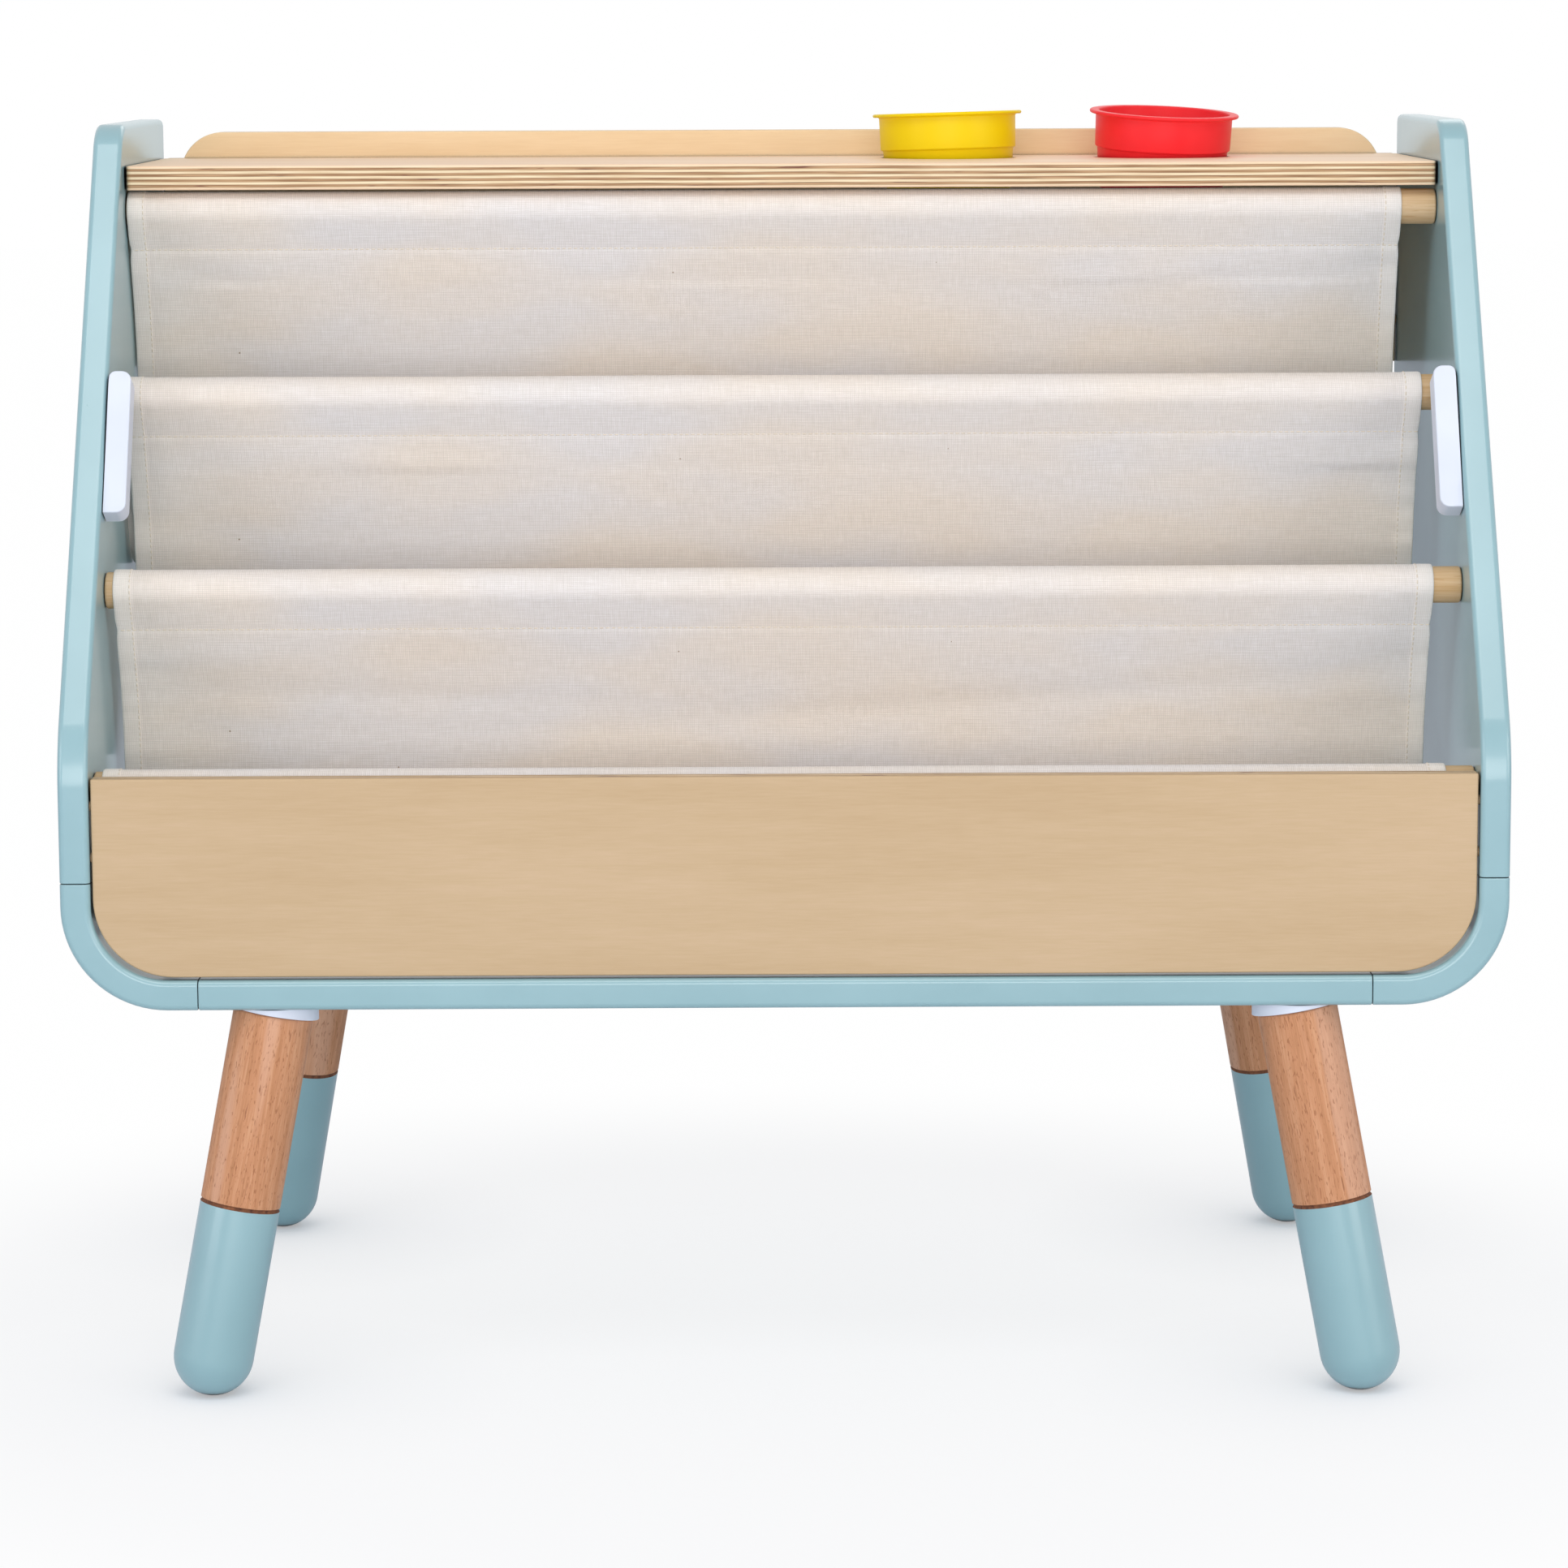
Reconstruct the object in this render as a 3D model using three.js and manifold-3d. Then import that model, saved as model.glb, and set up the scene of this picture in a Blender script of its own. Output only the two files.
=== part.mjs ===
import * as THREE from 'three';
import { mergeVertices } from 'three/addons/utils/BufferGeometryUtils.js';
import Module from 'manifold-3d';

// Children's sling bookshelf in millimetres. +Z is up, X runs along the width and the front faces -Y.
// The origin lies on the floor under the middle of the body.

const wasm = await Module();
wasm.setup();

// Body
const bodyWidth = 850;
const bodyDepth = 406;
const bodyHeight = 514;
const floorToBody = 232.5;
const boardThickness = 18;
const boardEdge = 3.5; // rounding of the painted boards' edges
const seamGap = 0.3; // between pieces that are glued, pinned or screwed face to face
const overrun = 5; // how far a cutting tool passes the face that it cuts

// Side panels
const bendHeight = 152.5; // from the body's underside to where the front edge starts to slant
const bendRadius = 75;
const slantAngle = THREE.MathUtils.degToRad(30.3); // from vertical
const topFrontRadius = 25;
const topBackRadius = 6;

// Corner boards
const cornerWidth = 80;
const cornerHeight = 76;
const cornerRadius = 62; // outer face

// Front panel
const frontThickness = 12;
const frontHeight = 118;
const frontRecess = 3;
const frontEndGap = 1;
const frontBottomGap = 1.5;
const frontCornerEase = 3; // how much rounder its corners are than the corner board's inner face
const plyEdge = 1.8; // rounding of the plywood pieces' edges

// Top shelf and back board
const shelfThickness = 15;
const shelfDrop = 25.5; // from the side panels' top down to the shelf's top
const shelfSetback = 13.7; // behind the slanted edges
const shelfEndGap = 0.7;
const shelfCornerRadius = 4;
const backThickness = 12;
const backRise = 17; // above the shelf's top
const backSkirt = 122; // below the shelf's underside
const backCornerRadius = 28;
const backCornerInset = 12; // from the side panels' inner faces to the rounded part
const backShoulderRadius = 3;

// Rails
const railRadius = 11;
const railEdge = 1.5;
const tenonRadius = 6; // turned on the rails' ends, plugged into the side panels
const tenonLength = 9;
const tenonEdge = 1;
const railDrop = 13.5; // from the shelf's underside to the top rail's axis
const frontRailDrop = 10.5; // from the front panel's top edge to the front rail's axis
const frontRailGap = 2; // from the front panel's back to the tunnel on the front rail

// Slings
const clothEndGap = 11.5; // from a centred sling's side hem to the side panel
const clothThickness = 1.2;
const tunnelEase = 0.4; // between a rail and its tunnel
const tunnelSeamDrop = 25; // from a rail's axis to the seam under it
const pocketSag = 82; // from the seam under the next rail down to the pocket's lowest point
const lowestPocketGap = 27; // above the base board, clear of the corner boards' curves
const foldDepth = 3;
const upperShift = -10.5; // sideways, as the slings have slid on their rails
const middleShift = -5.5;
const lowerShift = -6;

// Hand grips
const gripWidth = 13.5;
const gripDepth = 17;
const gripLength = 91;
const gripInnerRadius = 6;
const gripOuterRadius = 4;
const gripEdge = 0.8;
const gripRise = 171; // from the bend up to the grip's middle
const gripSetback = 9.5; // from the slanted edge to the grip's middle, square to that edge
const gripLean = THREE.MathUtils.degToRad(4.3); // steeper than the slanted edge
const gripPegRadius = 3;
const gripPegLength = 9;
const gripPegInset = 20;

// Legs and their mounts
const legRadius = 23.75;
const legInset = 122.5; // from the side panels' outer faces
const legSetback = 28; // from the front and back of the body
const splaySide = THREE.MathUtils.degToRad(10.3);
const splayFore = THREE.MathUtils.degToRad(5.9);
const legTopEdge = 1.5;
const footFlat = 0.5; // worn flat where a foot meets the floor
const grooveHeight = 113; // above the floor
const grooveWidth = 2.4;
const grooveDepth = 0.8;
const mountRadius = 25.5;
const mountLip = 1.2; // thinnest side of the wedge
const bossRadius = 7;
const bossHeight = 12;
const boltRadius = 4;
const boltLength = 46;
const boltEdge = 0.8;
const screwRadius = 1.75;
const screwLength = 16;
const screwHeadRadius = 3.5;
const screwHeadHeight = 2.2;
const screwReach = 15.5; // from the mount's middle
const screwSink = 5.2; // from the base board's underside to the screw head
const fitGap = 0.35; // around pins, bolts and screws

// Wooden pins
const pinRadius = 4;
const pinLength = 30;
const slimPinRadius = 3;
const slimPinLength = 20;
const pinEdge = 0.8;
const pinEndGap = 0.8;

// Cups
const cupRimRadius = 48;
const cupRimThickness = 2;
const cupBodyRadius = 43.5;
const cupBodyDraft = 0.5;
const cupSpigotRadius = 42;
const cupBottomRadius = 40.2;
const cupHeight = 50;
const cupSpigotHeight = 26;
const cupStepHeight = 1;
const cupWall = 2;
const cupBelowShelf = 6;
const cupHoleRadius = 43;
const cupEndInset = 161; // from the right side panel to the red cup's axis
const cupPitch = 137.5;
const cupBackInset = 56; // from the back board to the cups' axes
const redCupTilt = [3.9, 2.5].map(THREE.MathUtils.degToRad); // forward, then to the right
const yellowCupTilt = [-1, -1.6].map(THREE.MathUtils.degToRad);

// Facets
const edgeSteps = 2;
const arcSteps = 4;
const railSides = 16;
const legSides = 20;
const cupSides = 30;
const pinSides = 8;
const holeSides = 36;
const footSteps = 6;
const stations = 13; // cross-sections along a sling
const wallSteps = 13;
const loopSteps = 9;

// Rails from the top down
const railNames = ['rail_top', 'rail_upper', 'rail_lower', 'rail_front'];

// Worked-out places
const innerHalf = bodyWidth / 2 - boardThickness;
const frontY = -bodyDepth / 2;
const backY = bodyDepth / 2;
const bodyTop = floorToBody + bodyHeight;
const baseTop = floorToBody + boardThickness;
const seamZ = floorToBody + cornerHeight;
const bendZ = floorToBody + bendHeight;
const shelfTop = bodyTop - shelfDrop;
const shelfUnder = shelfTop - shelfThickness;
const backFaceY = backY - backThickness;
const shelfFrontY = slantY(shelfTop) + shelfSetback;
const frontBottom = baseTop + frontBottomGap;
const topRailZ = shelfUnder - railDrop;
const railPitch = (topRailZ - (frontBottom + frontHeight - frontRailDrop)) / (railNames.length - 1);
const railZ = (index) => topRailZ - index * railPitch;
const tunnelRadius = railRadius + tunnelEase + clothThickness; // outside
const frontRailY = frontY + frontRecess + frontThickness + frontRailGap + tunnelRadius;
const railY = (index) => frontRailY + (railNames.length - 1 - index) * railPitch * Math.tan(slantAngle);
const clothWidth = 2 * (innerHalf - clothEndGap);

// Straight line of the slanted front edges, carried on below the bend.
function slantY(z) {
  return frontY + (z - bendZ) * Math.tan(slantAngle);
}

const materials = {
  aquaPaint: new THREE.MeshStandardMaterial({ color: '#b3d8df', roughness: 0.45, metalness: 0 }),
  plywood: new THREE.MeshStandardMaterial({ color: '#d9ba92', roughness: 0.5, metalness: 0 }),
  railWood: new THREE.MeshStandardMaterial({ color: '#dcc195', roughness: 0.6, metalness: 0 }),
  beech: new THREE.MeshStandardMaterial({ color: '#cfa177', roughness: 0.5, metalness: 0 }),
  pinWood: new THREE.MeshStandardMaterial({ color: '#c9a87c', roughness: 0.8, metalness: 0 }),
  canvas: new THREE.MeshStandardMaterial({ color: '#e2dbd0', roughness: 0.95, metalness: 0 }),
  whitePlastic: new THREE.MeshStandardMaterial({ color: '#e8ecf4', roughness: 0.4, metalness: 0 }),
  yellowPlastic: new THREE.MeshStandardMaterial({ color: '#f4d21e', roughness: 0.4, metalness: 0 }),
  redPlastic: new THREE.MeshStandardMaterial({ color: '#fb3a3c', roughness: 0.4, metalness: 0 }),
  steel: new THREE.MeshStandardMaterial({ color: '#b9bcc0', roughness: 0.35, metalness: 1 }),
};

const bookshelf = new THREE.Group();

// Turns for shapes that are drawn flat: side view (X to the back), front view and plan.
const axisX = new THREE.Vector3(1, 0, 0);
const axisY = new THREE.Vector3(0, 1, 0);
const axisZ = new THREE.Vector3(0, 0, 1);
const plan = new THREE.Quaternion();
const sideView = turnFrom(axisY, axisZ, axisX);
const frontView = turnFrom(axisX, axisZ, axisY.clone().negate());

function turnFrom(right, up, out) {
  return new THREE.Quaternion().setFromRotationMatrix(new THREE.Matrix4().makeBasis(right, up, out));
}

function addPiece(name, geometry, material, position = [0, 0, 0], turn = plan, parent = bookshelf) {
  const piece = new THREE.Mesh(geometry, material);
  piece.name = name;
  piece.position.set(...position);
  piece.quaternion.copy(turn);
  parent.add(piece);
  return piece;
}

// Boolean work on closed geometry
function toSolid(geometry) {
  const bare = geometry.clone();
  bare.deleteAttribute('normal');
  bare.deleteAttribute('uv');
  const merged = mergeVertices(bare);
  const index = merged.index.array;
  const triangles = [];
  for (let corner = 0; corner < index.length; corner += 3) {
    const [a, b, c] = index.slice(corner, corner + 3);
    if (a !== b && b !== c && c !== a) triangles.push(a, b, c);
  }
  const vertProperties = new Float32Array(merged.attributes.position.array);
  const triVerts = new Uint32Array(triangles);
  return new wasm.Manifold(new wasm.Mesh({ numProp: 3, vertProperties, triVerts }));
}

function toGeometry(solid) {
  const mesh = solid.getMesh();
  const geometry = new THREE.BufferGeometry();
  geometry.setAttribute('position', new THREE.BufferAttribute(mesh.vertProperties, mesh.numProp));
  geometry.setIndex(new THREE.BufferAttribute(mesh.triVerts, 1));
  return geometry;
}

function fuse(first, ...others) {
  return toGeometry(others.reduce((solid, other) => solid.add(toSolid(other)), toSolid(first)));
}

// Cuts tools that stand at their place in the whole bookshelf out of a placed piece.
function cutFrom(piece, tools) {
  piece.updateWorldMatrix(true, false);
  const toPiece = piece.matrixWorld.clone().invert();
  const cut = (solid, tool) => solid.subtract(toSolid(tool.clone().applyMatrix4(toPiece)));
  piece.geometry = toGeometry(tools.reduce(cut, toSolid(piece.geometry)));
}

// Closed outline through corners [x, y, radius], listed counter-clockwise.
function roundedOutline(corners) {
  const outline = new THREE.Shape();
  corners.forEach(([x, y, radius], index) => {
    const corner = new THREE.Vector2(x, y);
    const [beforeX, beforeY] = corners.at(index - 1);
    const [afterX, afterY] = corners[(index + 1) % corners.length];
    const toBefore = new THREE.Vector2(beforeX, beforeY).sub(corner).normalize();
    const toAfter = new THREE.Vector2(afterX, afterY).sub(corner).normalize();
    const halfAngle = Math.acos(toBefore.dot(toAfter)) / 2;
    const reach = radius / Math.tan(halfAngle);
    const start = corner.clone().addScaledVector(toBefore, reach);
    if (index === 0) outline.moveTo(start.x, start.y);
    else outline.lineTo(start.x, start.y);
    if (radius === 0) return;
    const end = corner.clone().addScaledVector(toAfter, reach);
    const inward = toBefore.clone().add(toAfter).normalize();
    const center = corner.clone().addScaledVector(inward, radius / Math.sin(halfAngle));
    const startAngle = Math.atan2(start.y - center.y, start.x - center.x);
    const endAngle = Math.atan2(end.y - center.y, end.x - center.x);
    outline.absarc(center.x, center.y, radius, startAngle, endAngle, toBefore.cross(toAfter) > 0);
  });
  return outline;
}

// Board of an outline with rounded edges, centred on its thickness.
function board(outline, thickness, edge, steps = 1) {
  const geometry = new THREE.ExtrudeGeometry(outline, {
    depth: thickness - 2 * edge,
    bevelThickness: edge,
    bevelSize: edge,
    bevelOffset: -edge,
    bevelSegments: steps,
    curveSegments: arcSteps,
  });
  return geometry.translate(0, 0, edge - thickness / 2);
}

function box(width, depth, height, center) {
  return new THREE.BoxGeometry(width, depth, height).translate(...center);
}

// Turned piece about Z from a profile of [radius, height] points, bottom first.
function turned(profile, sides) {
  const points = profile.map(([radius, height]) => new THREE.Vector2(radius, height));
  return new THREE.LatheGeometry(points, sides).rotateX(Math.PI / 2);
}

// Rod along Z with chamfered ends, centred.
function rod(radius, length, edge, sides) {
  const half = length / 2;
  const profile = [
    [0, -half],
    [radius - edge, -half],
    [radius, edge - half],
    [radius, half - edge],
    [radius - edge, half],
    [0, half],
  ];
  return turned(profile, sides);
}

function hole(radius, length, sides = pinSides) {
  return new THREE.CylinderGeometry(radius, radius, length, sides).rotateX(Math.PI / 2);
}

function turnOnto(axis) {
  return new THREE.Quaternion().setFromUnitVectors(axisZ, axis);
}

// Moves geometry from the Z axis onto an axis through a point.
function aimed(geometry, axis, point) {
  return geometry.applyQuaternion(turnOnto(axis)).translate(...point);
}

// Pins across joints: every pin is drilled into the pieces that it joins.
function addPins(name, radius, length, joints) {
  joints.forEach(({ at, along, pieces }, index) => {
    const drill = aimed(hole(radius + fitGap, length + 2 * pinEndGap), along, at);
    pieces.forEach((piece) => cutFrom(piece, [drill]));
    const pin = rod(radius, length, pinEdge, pinSides);
    addPiece(`${name}_${index + 1}`, pin, materials.pinWood, at, turnOnto(along));
  });
}

// Painted body: side panels, corner boards and base board
function sideOutline() {
  const slantTopY = slantY(bodyTop);
  const below = seamZ - overrun;
  return roundedOutline([
    [frontY, below, 0],
    [backY, below, 0],
    [backY, bodyTop, topBackRadius],
    [slantTopY, bodyTop, topFrontRadius],
    [frontY, bendZ, bendRadius],
  ]);
}

function makeSidePanel(side) {
  const name = side < 0 ? 'side_panel_left' : 'side_panel_right';
  const middle = side * (bodyWidth / 2 - boardThickness / 2);
  const geometry = board(sideOutline(), boardThickness, boardEdge, edgeSteps);
  const panel = addPiece(name, geometry, materials.aquaPaint, [middle, 0, 0], sideView);
  const waste = 2 * overrun;
  const belowSeam = [middle, 0, seamZ + seamGap / 2 - waste / 2];
  cutFrom(panel, [box(boardThickness + waste, bodyDepth + waste, waste, belowSeam)]);
  return panel;
}

// The corner board's two ends run past their seams and are then cut flat.
function makeCorner(side) {
  const outer = bodyWidth / 2;
  const innerRadius = cornerRadius - boardThickness;
  const endX = outer - cornerWidth;
  const outline = roundedOutline([
    [endX - overrun, floorToBody, 0],
    [outer, floorToBody, cornerRadius],
    [outer, seamZ + overrun, 0],
    [innerHalf, seamZ + overrun, 0],
    [innerHalf, baseTop, innerRadius],
    [endX - overrun, baseTop, 0],
  ]);
  const name = side < 0 ? 'corner_left' : 'corner_right';
  const turn = side < 0 ? frontView.clone().multiply(new THREE.Quaternion(0, 1, 0, 0)) : frontView;
  const geometry = board(outline, bodyDepth, boardEdge, edgeSteps);
  const corner = addPiece(name, geometry, materials.aquaPaint, [0, 0, 0], turn);
  const waste = 2 * overrun;
  const aboveSeam = [side * (outer - boardThickness / 2), 0, seamZ - seamGap / 2 + waste / 2];
  const pastBase = [side * (endX + seamGap / 2 - waste / 2), 0, floorToBody + boardThickness / 2];
  const acrossTop = box(boardThickness + waste, bodyDepth + waste, waste, aboveSeam);
  const acrossEnd = box(waste, bodyDepth + waste, boardThickness + waste, pastBase);
  cutFrom(corner, [acrossTop, acrossEnd]);
  return corner;
}

function makeBase() {
  const length = bodyWidth - 2 * cornerWidth - seamGap;
  const section = roundedOutline([
    [frontY, floorToBody, boardEdge],
    [backY, floorToBody, boardEdge],
    [backY, baseTop, boardEdge],
    [frontY, baseTop, boardEdge],
  ]);
  const geometry = new THREE.ExtrudeGeometry(section, { depth: length, bevelEnabled: false, curveSegments: 1 });
  return addPiece('base_board', geometry, materials.aquaPaint, [-length / 2, 0, 0], sideView);
}

// Plywood pieces
function makeFrontPanel() {
  const half = innerHalf - frontEndGap;
  const lowerRadius = cornerRadius - boardThickness + frontCornerEase;
  const outline = roundedOutline([
    [-half, frontBottom, lowerRadius],
    [half, frontBottom, lowerRadius],
    [half, frontBottom + frontHeight, 0],
    [-half, frontBottom + frontHeight, 0],
  ]);
  const middle = frontY + frontRecess + frontThickness / 2;
  return addPiece('front_panel', board(outline, frontThickness, plyEdge), materials.plywood, [0, middle, 0], frontView);
}

function cupPlaces() {
  const y = backFaceY - cupBackInset;
  const redX = innerHalf - cupEndInset;
  return [[redX, y], [redX - cupPitch, y]];
}

function makeShelf() {
  const half = innerHalf - shelfEndGap;
  const back = backFaceY - seamGap;
  const outline = roundedOutline([
    [-half, shelfFrontY, shelfCornerRadius],
    [half, shelfFrontY, shelfCornerRadius],
    [half, back, shelfCornerRadius],
    [-half, back, shelfCornerRadius],
  ]);
  const middle = shelfTop - shelfThickness / 2;
  const geometry = board(outline, shelfThickness, plyEdge);
  const shelf = addPiece('top_shelf', geometry, materials.plywood, [0, 0, middle]);
  const depth = shelfThickness + 2 * overrun;
  cutFrom(shelf, cupPlaces().map(([x, y]) => hole(cupHoleRadius, depth, holeSides).translate(x, y, middle)));
  return shelf;
}

// The back board is as wide as the body below the shelf's top and steps in above it.
function makeBackBoard() {
  const half = innerHalf - shelfEndGap;
  const upperHalf = innerHalf - backCornerInset;
  const top = shelfTop + backRise;
  const bottom = shelfUnder - backSkirt;
  const arcRise = backCornerRadius - backRise;
  const shoulder = upperHalf - backCornerRadius + Math.sqrt(backCornerRadius ** 2 - arcRise ** 2);
  const arcStart = Math.asin(arcRise / backCornerRadius);
  const outline = new THREE.Shape();
  outline.moveTo(-half, bottom);
  outline.lineTo(half, bottom);
  outline.lineTo(half, shelfTop - backShoulderRadius);
  outline.absarc(half - backShoulderRadius, shelfTop - backShoulderRadius, backShoulderRadius, 0, Math.PI / 2);
  outline.lineTo(shoulder, shelfTop);
  outline.absarc(upperHalf - backCornerRadius, top - backCornerRadius, backCornerRadius, arcStart, Math.PI / 2);
  outline.absarc(
    backCornerRadius - upperHalf,
    top - backCornerRadius,
    backCornerRadius,
    Math.PI / 2,
    Math.PI - arcStart,
  );
  outline.lineTo(backShoulderRadius - half, shelfTop);
  outline.absarc(
    backShoulderRadius - half,
    shelfTop - backShoulderRadius,
    backShoulderRadius,
    Math.PI / 2,
    Math.PI,
  );
  const geometry = board(outline, backThickness, plyEdge / 2);
  const middle = backY - backThickness / 2;
  return addPiece('back_board', geometry, materials.plywood, [0, middle, 0], frontView);
}

// A rail butts against both side panels and plugs into them with a turned tenon at each end.
function makeRails(panels) {
  const shoulder = innerHalf - seamGap;
  const tip = shoulder + tenonLength;
  const upperHalf = [
    [railRadius, shoulder - railEdge],
    [railRadius - railEdge, shoulder],
    [tenonRadius, shoulder],
    [tenonRadius, tip - tenonEdge],
    [tenonRadius - tenonEdge, tip],
    [0, tip],
  ];
  const lowerHalf = upperHalf.map(([radius, height]) => [radius, -height]).reverse();
  const profile = [...lowerHalf, ...upperHalf];
  railNames.forEach((name, index) => {
    const place = [0, railY(index), railZ(index)];
    addPiece(name, turned(profile, railSides), materials.railWood, place, turnOnto(axisX));
    const sockets = hole(tenonRadius + fitGap, 2 * (tip + pinEndGap), 2 * pinSides);
    const throughBoth = aimed(sockets, axisX, place);
    panels.forEach((panel) => cutFrom(panel, [throughBoth]));
  });
}

// Slings. A pocket's course, from the seam under its back rail to the seam under its front rail:
// each pair is the share of the rails' distance behind the back rail, and the share of the drop.
const courseShares = [
  [0.2, 0.19],
  [0.35, 0.41],
  [0.39, 0.65],
  [0.25, 0.87],
  [-0.12, 1],
  [-0.48, 0.92],
  [-0.66, 0.76],
];

// Main folds of each sling's back wall: place along the width and down the drop, half length,
// half height, lean and depth, all as shares.
const upperFoldShares = [
  [0.12, 0.42, 0.16, 0.09, 0.25, -1],
  [0.5, 0.5, 0.3, 0.1, -0.12, 0.8],
  [0.86, 0.45, 0.14, 0.1, -0.4, -0.9],
];
const middleFoldShares = [
  [0.16, 0.34, 0.16, 0.08, -0.2, 0.9],
  [0.45, 0.55, 0.25, 0.09, 0.15, -1],
  [0.8, 0.46, 0.2, 0.1, -0.3, 0.9],
];
const lowerFoldShares = [
  [0.15, 0.3, 0.14, 0.08, 0.3, 0.9],
  [0.34, 0.55, 0.2, 0.09, 0.35, -1],
  [0.66, 0.5, 0.22, 0.09, -0.2, 0.9],
  [0.86, 0.36, 0.12, 0.1, -0.5, -0.8],
];

function foldAt(foldShares, along, down) {
  return foldShares.reduce((sum, [place, drop, halfLength, halfHeight, lean, depth]) => {
    const acrossFold = (along - place) / halfLength;
    const downFold = (down - drop - lean * (along - place)) / halfHeight;
    return sum + foldDepth * depth * Math.exp(-(acrossFold ** 2) - downFold ** 2);
  }, 0);
}

// Arc of a tunnel over its rail, from the front tangent to the back tangent of the seam's point.
function tunnelArc(rail, radius) {
  const spread = Math.acos(radius / tunnelSeamDrop);
  const sweep = 2 * (Math.PI - spread);
  return Array.from({ length: loopSteps + 1 }, (_, step) => {
    const angle = -Math.PI / 2 - spread - (sweep * step) / loopSteps;
    return new THREE.Vector2(rail.y + radius * Math.cos(angle), rail.z + radius * Math.sin(angle));
  });
}

function tunnelBore(rail) {
  const seam = new THREE.Vector2(rail.y, rail.z - tunnelSeamDrop + 2 * clothThickness);
  return [seam, ...tunnelArc(rail, railRadius + tunnelEase)];
}

// Middle line of a sling's wall at one cross-section.
function wallCourse(backRail, frontRail, bottomZ, closesOnRail, foldShares, along) {
  const seamTop = backRail.z - tunnelSeamDrop;
  const drop = seamTop - bottomZ;
  const pitch = backRail.y - frontRail.y;
  const tailY = frontRail.y + (closesOnRail ? 0 : 1.5 * clothThickness + seamGap);
  const guide = [
    new THREE.Vector2(backRail.y, seamTop),
    ...courseShares.map(([back, down]) => new THREE.Vector2(backRail.y + back * pitch, seamTop - down * drop)),
    new THREE.Vector2(tailY, frontRail.z - tunnelSeamDrop - (closesOnRail ? 0 : clothThickness)),
  ];
  const course = new THREE.SplineCurve(guide).getPoints(wallSteps);
  const lowest = course.reduce((best, point, index) => (point.y < course[best].y ? index : best), 0);
  return course.map((point, index) => {
    const fold = index < lowest ? foldAt(foldShares, along, (seamTop - point.y) / drop) : 0;
    return new THREE.Vector2(point.x + fold, point.y);
  });
}

// Both faces of the wall, half a thickness to each side of its middle line.
function wallFaces(course) {
  const half = clothThickness / 2;
  const faces = { front: [], back: [] };
  course.forEach((point, index) => {
    const before = course[Math.max(index - 1, 0)];
    const after = course[Math.min(index + 1, course.length - 1)];
    const along = after.clone().sub(before).normalize();
    const across = new THREE.Vector2(-along.y, along.x).multiplyScalar(half);
    faces.back.push(point.clone().add(across));
    faces.front.push(point.clone().sub(across));
  });
  return faces;
}

// Solid between equal cross-sections in the YZ plane, each an outer ring and its holes.
function loft(sections) {
  const positions = [];
  const index = [];
  const ringSizes = [sections[0].outer, ...sections[0].holes].map((ring) => ring.length);
  const perSection = ringSizes.reduce((sum, size) => sum + size, 0);
  for (const { x, outer, holes } of sections) {
    for (const point of [outer, ...holes].flat()) positions.push(x, point.x, point.y);
  }
  for (let section = 0; section < sections.length - 1; section += 1) {
    let start = section * perSection;
    for (const size of ringSizes) {
      for (let step = 0; step < size; step += 1) {
        const a = start + step;
        const b = start + ((step + 1) % size);
        index.push(a, b, b + perSection, a, b + perSection, a + perSection);
      }
      start += size;
    }
  }
  const lastStart = (sections.length - 1) * perSection;
  const caps = [[sections[0], 0, true], [sections.at(-1), lastStart, false]];
  for (const [{ outer, holes }, start, flipped] of caps) {
    for (const [a, b, c] of THREE.ShapeUtils.triangulateShape(outer, holes)) {
      index.push(start + a, start + (flipped ? c : b), start + (flipped ? b : c));
    }
  }
  const geometry = new THREE.BufferGeometry();
  geometry.setAttribute('position', new THREE.Float32BufferAttribute(positions, 3));
  geometry.setIndex(index);
  return geometry;
}

function makeSling(name, railIndex, bottomZ, closesOnRail, shift, foldShares) {
  const backRail = { y: railY(railIndex), z: railZ(railIndex) };
  const frontRail = { y: railY(railIndex + 1), z: railZ(railIndex + 1) };
  const sections = Array.from({ length: stations }, (_, station) => {
    const along = station / (stations - 1);
    const course = wallCourse(backRail, frontRail, bottomZ, closesOnRail, foldShares, along);
    const { front, back } = wallFaces(course);
    const frontLoop = closesOnRail ? tunnelArc(frontRail, tunnelRadius).reverse() : [];
    const outer = [...front, ...frontLoop, ...back.reverse(), ...tunnelArc(backRail, tunnelRadius).reverse()];
    const holes = [tunnelBore(backRail)];
    if (closesOnRail) holes.push(tunnelBore(frontRail));
    return { x: (along - 0.5) * clothWidth, outer, holes };
  });
  return addPiece(name, loft(sections), materials.canvas, [shift, 0, 0]);
}

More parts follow.
